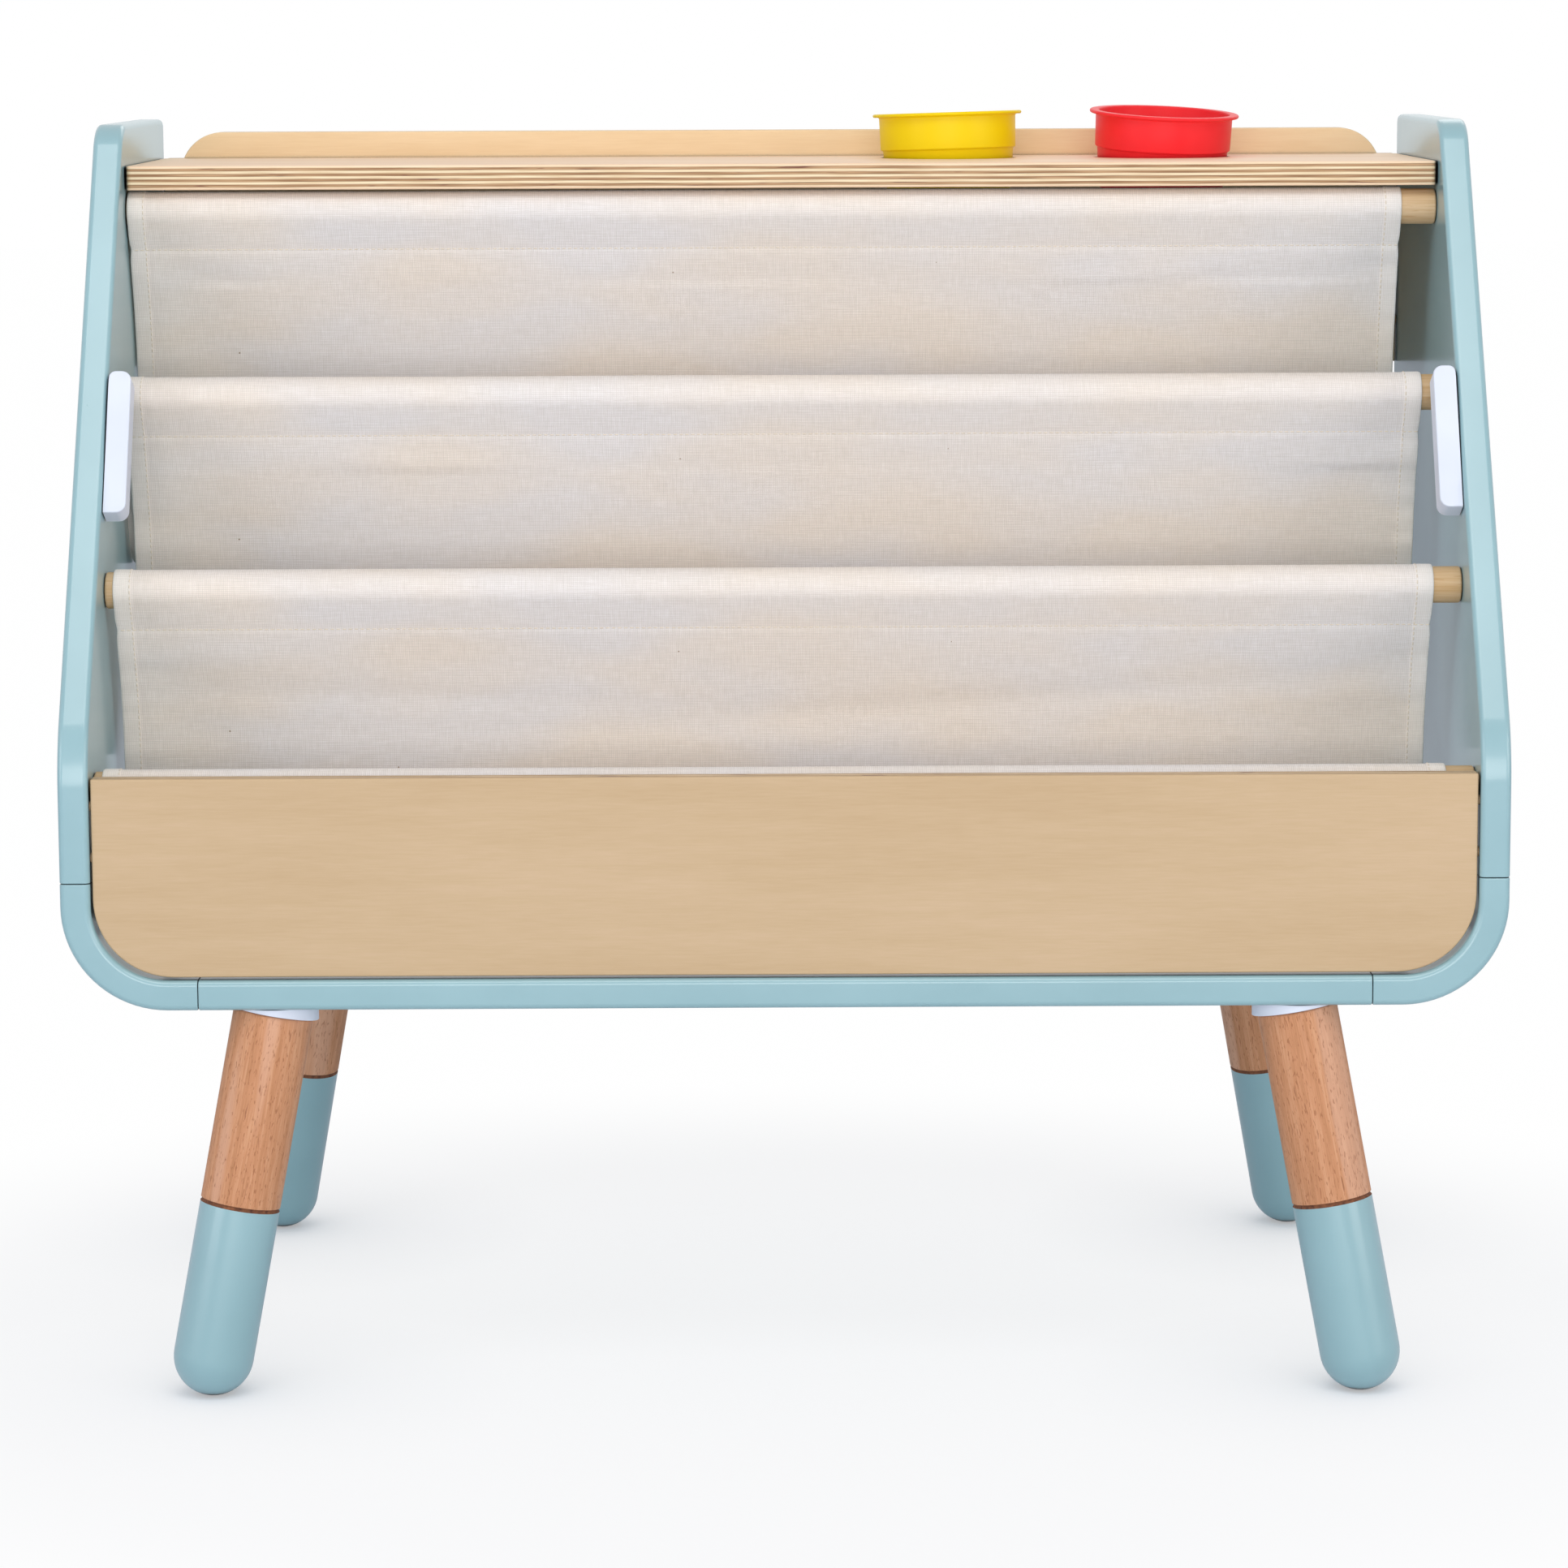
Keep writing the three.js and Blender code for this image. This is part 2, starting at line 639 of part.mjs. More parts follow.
// Hand grips: a moulded block with two pegs that plug into the side panel
function makeGrip(side, panel) {
  const halfLength = gripLength / 2;
  const wallSide = 0;
  const outline = roundedOutline([
    [-gripWidth, -halfLength, gripInnerRadius],
    [wallSide, -halfLength, 0],
    [wallSide, halfLength, gripOuterRadius],
    [-gripWidth, halfLength, gripInnerRadius],
  ]);
  const block = board(outline, gripDepth, gripEdge);
  const pegMiddle = (gripPegLength - gripEdge) / 2;
  const pegSpread = halfLength - gripPegInset;
  const pegs = [-pegSpread, pegSpread].map((height) =>
    rod(gripPegRadius, gripPegLength + gripEdge, pinEdge, pinSides)
      .rotateY(Math.PI / 2)
      .translate(pegMiddle, height, 0),
  );
  const whole = fuse(block, ...pegs);
  const lean = slantAngle - gripLean;
  const up = new THREE.Vector3(0, Math.sin(lean), Math.cos(lean));
  const wallward = new THREE.Vector3(side, 0, 0);
  const out = wallward.clone().cross(up);
  const middleZ = bendZ + gripRise;
  const middleY = slantY(middleZ) + gripSetback / Math.cos(slantAngle);
  const middle = [side * (innerHalf - seamGap), middleY, middleZ];
  const name = side < 0 ? 'hand_grip_left' : 'hand_grip_right';
  addPiece(name, whole, materials.whitePlastic, middle, turnFrom(wallward, up, out));
  const sockets = [-pegSpread, pegSpread].map((height) => {
    const point = up.clone().multiplyScalar(height).add(new THREE.Vector3(...middle));
    const socket = hole(gripPegRadius + fitGap, 2 * (gripPegLength + pinEndGap));
    return aimed(socket, axisX, point.toArray());
  });
  cutFrom(panel, sockets);
}

// Legs. Each stands on an axis that leans outwards to its side and to the front or back.
function legAxis(side, end) {
  return new THREE.Vector3(-side * Math.tan(splaySide), -end * Math.tan(splayFore), 1).normalize();
}

function legProfile(topAlong, bottomAlong, tilt) {
  const groove = (grooveHeight - floorToBody) / Math.cos(tilt);
  const center = bottomAlong + legRadius;
  const quarter = Math.PI / 2;
  const foot = Array.from({ length: footSteps + 1 }, (_, step) => {
    const angle = (quarter * step) / footSteps;
    return [legRadius * Math.sin(angle), center - legRadius * Math.cos(angle)];
  });
  return [
    ...foot,
    [legRadius, groove - grooveWidth / 2],
    [legRadius - grooveDepth, groove],
    [legRadius, groove + grooveWidth / 2],
    [legRadius, topAlong - legTopEdge],
    [legRadius - legTopEdge, topAlong],
    [0, topAlong],
  ];
}

function mountScrew() {
  const head = screwSink - screwHeadHeight;
  return turned([
    [0, -screwSink],
    [screwHeadRadius, -screwSink],
    [screwRadius, -head],
    [screwRadius, screwLength - screwSink - screwRadius],
    [0, screwLength - screwSink],
  ], pinSides);
}

function makeLeg(side, end, base) {
  const name = `${end < 0 ? 'front' : 'back'}_${side < 0 ? 'left' : 'right'}`;
  const axis = legAxis(side, end);
  const tilt = Math.acos(axis.z);
  const turn = new THREE.Quaternion().setFromUnitVectors(axisZ, axis);
  const stand = new THREE.Group();
  stand.position.set(side * (bodyWidth / 2 - legInset), end * (bodyDepth / 2 - legSetback), floorToBody);
  bookshelf.add(stand);
  const top = -(mountRadius * Math.sin(tilt) + mountLip * Math.cos(tilt));
  const legTop = top - seamGap;
  const bottom = -(floorToBody - legRadius + footFlat) / Math.cos(tilt) - legRadius;

  const profile = legProfile(legTop, bottom, tilt);
  const leg = addPiece(`leg_${name}`, turned(profile, legSides), materials.beech, [0, 0, 0], turn, stand);
  const floorWidth = 4 * legRadius;
  const footX = stand.position.x - axis.x * floorToBody;
  const footY = stand.position.y - axis.y * floorToBody;
  const belowFloor = box(floorWidth, floorWidth, 2 * overrun, [footX, footY, -overrun]);

  const wedgeHeight = 2 * mountRadius * Math.tan(tilt) + mountLip + overrun;
  const blank = hole(mountRadius, wedgeHeight, legSides).translate(0, 0, -wedgeHeight / 2 - seamGap);
  const mount = addPiece(`leg_mount_${name}`, blank, materials.whitePlastic, [0, 0, 0], plan, stand);
  const under = box(floorWidth, floorWidth, floorWidth, [0, 0, top - floorWidth / 2]);
  cutFrom(mount, [under.applyQuaternion(turn).translate(...stand.position.toArray())]);
  const bossBottom = top / 2;
  const boss = hole(bossRadius, bossHeight - bossBottom, 2 * pinSides);
  boss.translate(0, 0, (bossHeight + bossBottom) / 2).applyQuaternion(turn);
  mount.geometry = fuse(mount.geometry, boss);

  const along = (from, to) => axis.clone().multiplyScalar((from + to) / 2).add(stand.position).toArray();
  const boltTop = bossHeight - pinEndGap;
  const boltBottom = boltTop - boltLength;
  const bolt = rod(boltRadius, boltLength, boltEdge, pinSides);
  addPiece(`hanger_bolt_${name}`, bolt, materials.steel, along(boltTop, boltBottom), turn);
  const bore = hole(boltRadius + fitGap, boltLength + 2 * pinEndGap + overrun, 2 * pinSides);
  const boltHole = aimed(bore, axis, along(boltTop + overrun, boltBottom));
  const bossRoom = aimed(
    hole(bossRadius + fitGap, 2 * (bossHeight + pinEndGap), 2 * pinSides),
    axis,
    stand.position.toArray(),
  );

  const acrossTilt = new THREE.Vector3(-axis.y, axis.x, 0).normalize();
  const screwHoles = [];
  [-1, 1].forEach((direction, index) => {
    const place = acrossTilt.clone().multiplyScalar(direction * screwReach).add(stand.position);
    addPiece(`mount_screw_${name}_${index + 1}`, mountScrew(), materials.steel, place.toArray());
    const shank = hole(screwRadius + fitGap, 2 * (screwLength - screwSink + pinEndGap));
    const recessTop = seamGap - screwSink + screwHeadHeight;
    const recess = hole(screwHeadRadius + fitGap, wedgeHeight);
    screwHoles.push(shank.translate(...place.toArray()));
    screwHoles.push(recess.translate(place.x, place.y, place.z + recessTop - wedgeHeight / 2));
  });
  cutFrom(leg, [belowFloor, boltHole]);
  cutFrom(mount, [boltHole, ...screwHoles]);
  cutFrom(base, [bossRoom, ...screwHoles]);
}

// Cups: turned shells that sit by their tapered lower part in the shelf's holes
function cupProfile() {
  const floor = cupWall;
  const bodyStart = cupSpigotHeight + cupStepHeight;
  const rimUnder = cupHeight - cupRimThickness;
  const topRadius = cupBodyRadius + cupBodyDraft;
  const bottomEdge = cupWall / 2;
  return [
    [0, 0],
    [cupBottomRadius - bottomEdge, 0],
    [cupBottomRadius, bottomEdge],
    [cupSpigotRadius, cupSpigotHeight],
    [cupBodyRadius, bodyStart],
    [topRadius, rimUnder],
    [cupRimRadius - cupRimThickness / 2, rimUnder],
    [cupRimRadius, cupHeight - cupRimThickness / 2],
    [cupRimRadius - cupRimThickness / 2, cupHeight],
    [topRadius - cupWall, cupHeight],
    [cupBodyRadius - cupWall, bodyStart],
    [cupSpigotRadius - cupWall, cupSpigotHeight],
    [cupBottomRadius - cupWall, floor],
    [0, floor],
  ];
}

function makeCup(name, material, [x, y], [forward, sideways]) {
  const turn = new THREE.Quaternion().setFromEuler(new THREE.Euler(forward, sideways, 0));
  const seat = shelfThickness / 2 + cupBelowShelf;
  const seatPoint = new THREE.Vector3(x, y, shelfTop - shelfThickness / 2);
  const origin = seatPoint.sub(new THREE.Vector3(0, 0, seat).applyQuaternion(turn));
  addPiece(name, turned(cupProfile(), cupSides), material, origin.toArray(), turn);
}

// Assembly
const leftPanel = makeSidePanel(-1);
const rightPanel = makeSidePanel(1);
const leftCorner = makeCorner(-1);
const rightCorner = makeCorner(1);
const base = makeBase();
const frontPanel = makeFrontPanel();
const shelf = makeShelf();
const backBoard = makeBackBoard();
const ends = [
  { side: -1, panel: leftPanel, corner: leftCorner },
  { side: 1, panel: rightPanel, corner: rightCorner },
];
makeRails([leftPanel, rightPanel]);

const lowestPocket = baseTop + lowestPocketGap;
const pocketBottom = (index) => railZ(index + 1) - tunnelSeamDrop - pocketSag;
makeSling('sling_upper', 0, pocketBottom(0), false, upperShift, upperFoldShares);
makeSling('sling_middle', 1, pocketBottom(1), false, middleShift, middleFoldShares);
makeSling('sling_lower', 2, lowestPocket, true, lowerShift, lowerFoldShares);
ends.forEach(({ side, panel }) => makeGrip(side, panel));

for (const [side, end] of [[-1, -1], [1, -1], [-1, 1], [1, 1]]) makeLeg(side, end, base);

// Places of the pins, as shares of the depth or height of what they join
const pinDepthShares = [0.18, 0.82];
const frontPinShares = [0.6, 0.86];
const backPinShares = [0.2, 0.75];
const wallMiddle = bodyWidth / 2 - boardThickness / 2;
const frontMiddleY = frontY + frontRecess + frontThickness / 2;
const backMiddleY = backY - backThickness / 2;
const cornerJoints = ends.flatMap(({ side, panel, corner }) => pinDepthShares.flatMap((share) => {
  const y = frontY + share * bodyDepth;
  const seamX = side * (bodyWidth / 2 - cornerWidth);
  return [
    { at: [side * wallMiddle, y, seamZ], along: axisZ, pieces: [panel, corner] },
    { at: [seamX, y, floorToBody + boardThickness / 2], along: axisX, pieces: [corner, base] },
  ];
}));
addPins('corner_pin', pinRadius, pinLength, cornerJoints);

const endJoint = (side, y, z, pieces) => ({ at: [side * innerHalf, y, z], along: axisX, pieces });
const shelfMiddleZ = shelfTop - shelfThickness / 2;
const shelfJoints = ends.flatMap(({ side, panel }) => pinDepthShares.map((share) =>
  endJoint(side, shelfFrontY + share * (backFaceY - shelfFrontY), shelfMiddleZ, [panel, shelf])));
addPins('shelf_pin', slimPinRadius, slimPinLength, shelfJoints);

const backBottom = shelfUnder - backSkirt;
const backHeight = backSkirt + shelfThickness;
const backJoints = ends.flatMap(({ side, panel }) => backPinShares.map((share) =>
  endJoint(side, backMiddleY, backBottom + share * backHeight, [panel, backBoard])));
addPins('back_board_pin', slimPinRadius, slimPinLength, backJoints);

const frontJoints = ends.flatMap(({ side, panel }) => frontPinShares.map((share) =>
  endJoint(side, frontMiddleY, frontBottom + share * frontHeight, [panel, frontPanel])));
addPins('front_panel_pin', slimPinRadius, slimPinLength, frontJoints);

const [redPlace, yellowPlace] = cupPlaces();
makeCup('yellow_cup', materials.yellowPlastic, yellowPlace, yellowCupTilt);
makeCup('red_cup', materials.redPlastic, redPlace, redCupTilt);

export default bookshelf;
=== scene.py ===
import bpy
import bmesh
import math
from mathutils import Matrix, Vector, noise


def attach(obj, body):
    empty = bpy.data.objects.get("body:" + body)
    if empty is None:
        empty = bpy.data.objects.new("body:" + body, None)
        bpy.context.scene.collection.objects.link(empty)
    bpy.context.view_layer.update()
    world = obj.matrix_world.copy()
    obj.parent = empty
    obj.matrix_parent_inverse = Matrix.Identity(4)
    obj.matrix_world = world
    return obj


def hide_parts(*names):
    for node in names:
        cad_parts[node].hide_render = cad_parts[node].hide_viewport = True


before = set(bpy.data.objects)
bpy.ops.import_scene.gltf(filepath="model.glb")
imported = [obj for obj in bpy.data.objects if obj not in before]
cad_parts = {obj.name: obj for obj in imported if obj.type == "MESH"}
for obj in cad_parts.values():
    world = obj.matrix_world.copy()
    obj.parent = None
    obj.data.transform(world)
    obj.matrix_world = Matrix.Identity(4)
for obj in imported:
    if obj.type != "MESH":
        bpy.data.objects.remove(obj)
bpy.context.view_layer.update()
print("frame loaded:", len(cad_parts), "nodes")

mm = 0.001


def linear(hexCode):  # an sRGB hex value as the linear colour that Blender wants
    channels = [int(hexCode[i:i + 2], 16) / 255 for i in (0, 2, 4)]
    return tuple(c / 12.92 if c <= 0.04045 else ((c + 0.055) / 1.055) ** 2.4 for c in channels) + (1,)


def scaleFor(*sizes):  # a pattern's scale from its real size along each axis, in millimetres
    return [1000 / size for size in sizes]


def addNode(tree, kind, settings):
    # a node, new or already there, with its settings; a node or a socket given as a value is linked
    node = tree.nodes.new("ShaderNode" + kind) if isinstance(kind, str) else kind
    for key, value in settings.items():
        if isinstance(value, bpy.types.Node):
            value = next(socket for socket in value.outputs if socket.enabled)
        if key == "stops":
            ramp = node.color_ramp
            while len(ramp.elements) < len(value):
                ramp.elements.new(0.5)
            for element, (place, colour) in zip(ramp.elements, value):
                element.position, element.color = place, linear(colour)
        elif not isinstance(key, int) and key not in node.inputs:
            setattr(node, key, value)
        elif isinstance(value, bpy.types.NodeSocket):
            tree.links.new(value, node.inputs[key])
        else:
            node.inputs[key].default_value = value
    return node


def newMaterial(name):
    material = bpy.data.materials.new(name)
    material.use_nodes = True
    tree = material.node_tree
    return material, tree, next(node for node in tree.nodes if node.type == "BSDF_PRINCIPLED")


# painted shade in narrow gaps: how shut a gap is by ambient occlusion, and the near-black colour painted
# there
paintedGapShade = {"reach": 4 * mm, "shut": 0.28, "open": 0.56, "colour": "0C1312"}


def paintShadeInGaps(tree, colour):  # painted shade: narrow gaps between boards, shut in as the ambient occlusion finds them, are coloured nearly black
    openness = addNode(tree, "AmbientOcclusion", {"samples": 6, "Distance": paintedGapShade["reach"]})
    gapShadeAmount = addNode(tree, "MapRange", {"From Min": paintedGapShade["shut"], "From Max": paintedGapShade["open"],
                                       "To Min": 1, "To Max": 0, "Value": openness.outputs["AO"]})
    return addNode(tree, "Mix", {"data_type": "RGBA", 0: gapShadeAmount, 6: colour, 7: linear(paintedGapShade["colour"])})


lacquerLook = {  # sizes in mm
    "tones": ("89AEB6", "8FB4BC"), "cloudSize": 71.43, "streakSize": (2.2, 2.2, 30), "peelSize": 1.8,
    "gloss": (0.27, 0.29), "bump": 0.04 * mm, "coat": 0.45, "coatGloss": 0.13,
}


def makeLacquer():
    # water-based lacquer sprayed on a sanded board: satin sheen, faint orange peel and upright streaks
    look = lacquerLook
    material, tree, shader = newMaterial("satinAquaLacquer")
    coords = addNode(tree, "TexCoord", {}).outputs["Object"]
    cloudy = addNode(tree, "TexNoise", {"Scale": scaleFor(look["cloudSize"])[0], "Detail": 3,
                                        "Vector": coords})
    tint = addNode(tree, "ValToRGB", {"stops": list(zip((0.3, 0.7), look["tones"])), "Fac": cloudy})
    # painted shade: the lacquer's colour darkens to near black in narrow gaps between boards
    tint = paintShadeInGaps(tree, tint)
    upright = addNode(tree, "Mapping", {"Scale": scaleFor(*look["streakSize"]), "Vector": coords})
    streaks = addNode(tree, "TexNoise", {"Scale": 1, "Detail": 2, "Vector": upright})
    gloss = addNode(tree, "MapRange", {"To Min": look["gloss"][0], "To Max": look["gloss"][1],
                                       "Value": streaks})
    peel = addNode(tree, "TexNoise", {"Scale": scaleFor(look["peelSize"])[0], "Detail": 1, "Vector": coords})
    height = addNode(tree, "Math", {"operation": "ADD", 0: peel, 1: streaks})
    bump = addNode(tree, "Bump", {"Strength": 0.08, "Distance": look["bump"], "Height": height})
    addNode(tree, shader, {"Base Color": tint, "Roughness": gloss, "Normal": bump, "Specular IOR Level": 0.55,
                           "Coat Weight": look["coat"], "Coat Roughness": look["coatGloss"]})
    return material


plyLook = {
    "patterns": {  # size in mm along x, y and z, turn round y in degrees, detail
        "figure": ((240, 45, 34), 15, 3), "fibre": ((18, 1.1, 1.1), 0, 3), "streaks": ((110, 9, 7), 12, 4),
        "paleEdge": ((30, 1.2, 0.8), 0, 4), "brownEdge": ((45, 2.5, 0.9), 0, 4),
        "wave": ((90, 90, 9), 0, 1), "knots": ((34, 30, 2.2), 0, 2),
    },
    "veneerShares": {"figure": 0.5, "streaks": 0.22, "fibre": 0.28},
    "pale": ("DAC19A", "ECDAB8"), "brown": ("8F6A48", "C29D76"), "knot": "6E4034", "glue": "7F5F42",
    "waviness": 0.5, "glueWidth": 0.16, "veneerDepth": 0.7,  # in plies
    "glueShare": 0.42, "gloss": (0.48, 0.6), "bump": 0.1 * mm,
}


def makePlywood(name, across, low, high, board):
    # birch plywood, sanded and varnished: plain veneer on its faces, pale and brown plies on its edges
    look, plies = plyLook, board["plies"]
    material, tree, shader = newMaterial(name)
    coords = addNode(tree, "TexCoord", {}).outputs["Object"]
    grains = {}
    for part, (size, turn, detail) in look["patterns"].items():
        place = addNode(tree, "Mapping", {"Scale": scaleFor(*size), "Rotation": (0, math.radians(turn), 0),
                                          "Vector": coords})
        grains[part] = addNode(tree, "TexNoise", {"Scale": 1, "Detail": detail, "Vector": place})
    tone = 0
    for part, share in look["veneerShares"].items():
        tone = addNode(tree, "Math", {"operation": "MULTIPLY_ADD", 0: grains[part], 1: share, 2: tone})
    face = addNode(tree, "ValToRGB", {"stops": list(zip((0.36, 0.5, 0.64), board["veneer"])), "Fac": tone})
    height = addNode(tree, "SeparateXYZ", {"Vector": coords}).outputs[across]
    height = addNode(tree, "Math", {"operation": "SUBTRACT", 0: height, 1: low})
    depth = addNode(tree, "Math", {"operation": "DIVIDE", 0: height, 1: (high - low) / plies})  # in plies
    wavy = addNode(tree, "Math", {"operation": "MULTIPLY_ADD", 0: grains["wave"], 1: look["waviness"],
                                  2: depth})
    wavy = addNode(tree, "Math", {"operation": "SUBTRACT", 0: wavy, 1: look["waviness"] / 2})
    layer = addNode(tree, "Math", {"operation": "FLOOR", 0: wavy})
    odd = addNode(tree, "Math", {"operation": "FLOORED_MODULO", 0: layer, 1: 2})
    pale = addNode(tree, "ValToRGB", {"stops": list(zip((0.35, 0.62), look["pale"])),
                                      "Fac": grains["paleEdge"]})
    brown = addNode(tree, "ValToRGB", {"stops": list(zip((0.36, 0.66), look["brown"])),
                                       "Fac": grains["brownEdge"]})
    knot = addNode(tree, "ValToRGB", {"stops": [(0.64, "000000"), (0.7, "FFFFFF")], "Fac": grains["knots"]})
    brown = addNode(tree, "Mix", {"data_type": "RGBA", 0: knot, 6: brown, 7: linear(look["knot"])})
    edge = addNode(tree, "Mix", {"data_type": "RGBA", 0: odd, 6: pale, 7: brown})
    away = addNode(tree, "Math", {"operation": "PINGPONG", 0: wavy, 1: 0.5})  # nought on a glue line
    glue = addNode(tree, "MapRange", {"From Min": 0, "From Max": look["glueWidth"],
                                      "To Min": look["glueShare"], "To Max": 0, "Value": away})
    edge = addNode(tree, "Mix", {"data_type": "RGBA", 0: glue, 6: edge, 7: linear(look["glue"])})
    middle = addNode(tree, "Math", {"operation": "SUBTRACT", 0: depth, 1: plies / 2})
    fromMiddle = addNode(tree, "Math", {"operation": "ABSOLUTE", 0: middle})
    outside = addNode(tree, "Math", {"operation": "GREATER_THAN", 0: fromMiddle,
                                     1: plies / 2 - look["veneerDepth"]})
    colour = addNode(tree, "Mix", {"data_type": "RGBA", 0: outside, 6: edge, 7: face})
    # painted shade: the plywood's colour darkens to near black in narrow gaps, such as where the shelf meets
    # the side panels
    colour = paintShadeInGaps(tree, colour)
    bump = addNode(tree, "Bump", {"Strength": 0.3, "Distance": look["bump"], "Height": grains["fibre"]})
    gloss = addNode(tree, "MapRange", {"To Min": look["gloss"][0], "To Max": look["gloss"][1], "Value": tone})
    addNode(tree, shader, {"Base Color": colour, "Roughness": gloss, "Normal": bump,
                           "Specular IOR Level": 0.35})
    return material


def makeTurnedWood(name, wood):
    # solid wood, turned, sanded and oiled: bands and short dark flecks along the grain
    material, tree, shader = newMaterial(name)
    coords = addNode(tree, "Attribute", {"attribute_name": "grain"}).outputs["Vector"]
    bands = addNode(tree, "Mapping", {"Scale": scaleFor(*wood["bandSize"]), "Vector": coords})
    bands = addNode(tree, "TexNoise", {"Scale": 1, "Detail": 3, "Distortion": 0.8, "Vector": bands})
    fibres = addNode(tree, "Mapping", {"Scale": scaleFor(*wood["fibreSize"]), "Vector": coords})
    fibres = addNode(tree, "TexNoise", {"Scale": 1, "Detail": 3, "Vector": fibres})
    tone = addNode(tree, "Mix", {0: wood["fibreShare"], 2: bands, 3: fibres})
    colour = addNode(tree, "ValToRGB", {"stops": list(zip((0.36, 0.5, 0.66), wood["tones"])), "Fac": tone})
    for size, start, share, shade in wood["marks"]:
        marks = addNode(tree, "Mapping", {"Scale": scaleFor(*size), "Vector": coords})
        marks = addNode(tree, "TexNoise", {"Scale": 1, "Detail": 1, "Distortion": 0.2, "Vector": marks})
        cover = addNode(tree, "MapRange", {"From Min": start, "From Max": start + wood["markBlur"],
                                           "To Min": 0, "To Max": share, "Value": marks})
        colour = addNode(tree, "Mix", {"data_type": "RGBA", 0: cover, 6: colour, 7: linear(shade)})
    bump = addNode(tree, "Bump", {"Strength": 0.3, "Distance": 0.12 * mm, "Height": fibres})
    addNode(tree, shader, {"Base Color": colour, "Roughness": 0.5, "Normal": bump, "Specular IOR Level": 0.2})
    return material


def makeBurntGroove():  # line burnt by friction with a wire: charred brown, dry
    material, tree, shader = newMaterial("burntBeech")
    coords = addNode(tree, "TexCoord", {}).outputs["Object"]
    scorch = addNode(tree, "TexNoise", {"Scale": scaleFor(3.3)[0], "Detail": 2, "Vector": coords})
    tone = addNode(tree, "ValToRGB", {"stops": [(0.3, "54301F"), (0.7, "8A5636")], "Fac": scorch})
    addNode(tree, shader, {"Base Color": tone, "Roughness": 0.8})
    return material


canvasLook = {
    "threadPitch": 1.15 * mm,  # real threads are 0.5 mm apart: drawn coarser so that they show
    "driftSize": (5, 5, 1000), "drift": 4, "slubSizes": ((14, 1.2, 1000), (1.2, 11, 1000)),
    "cloudSize": (190, 70, 1000), "seedSpacing": (28, 28, 1000), "seedSize": 0.02,
    "tones": ("E4E0DB", "EAE6E2", "F0EDEA"), "clouds": ("FAFAFD", "FFF8F0"), "seed": "A08F7C",
    "pore": "A0978E", "poreLevel": 0.3, "poreShare": 0.3, "bump": 0.25 * mm,
    "hem": "F3EEE6", "hemShare": 0.3, "hemBlur": 0.5 * mm, "mapStart": 1,  # metres left of the middle
}


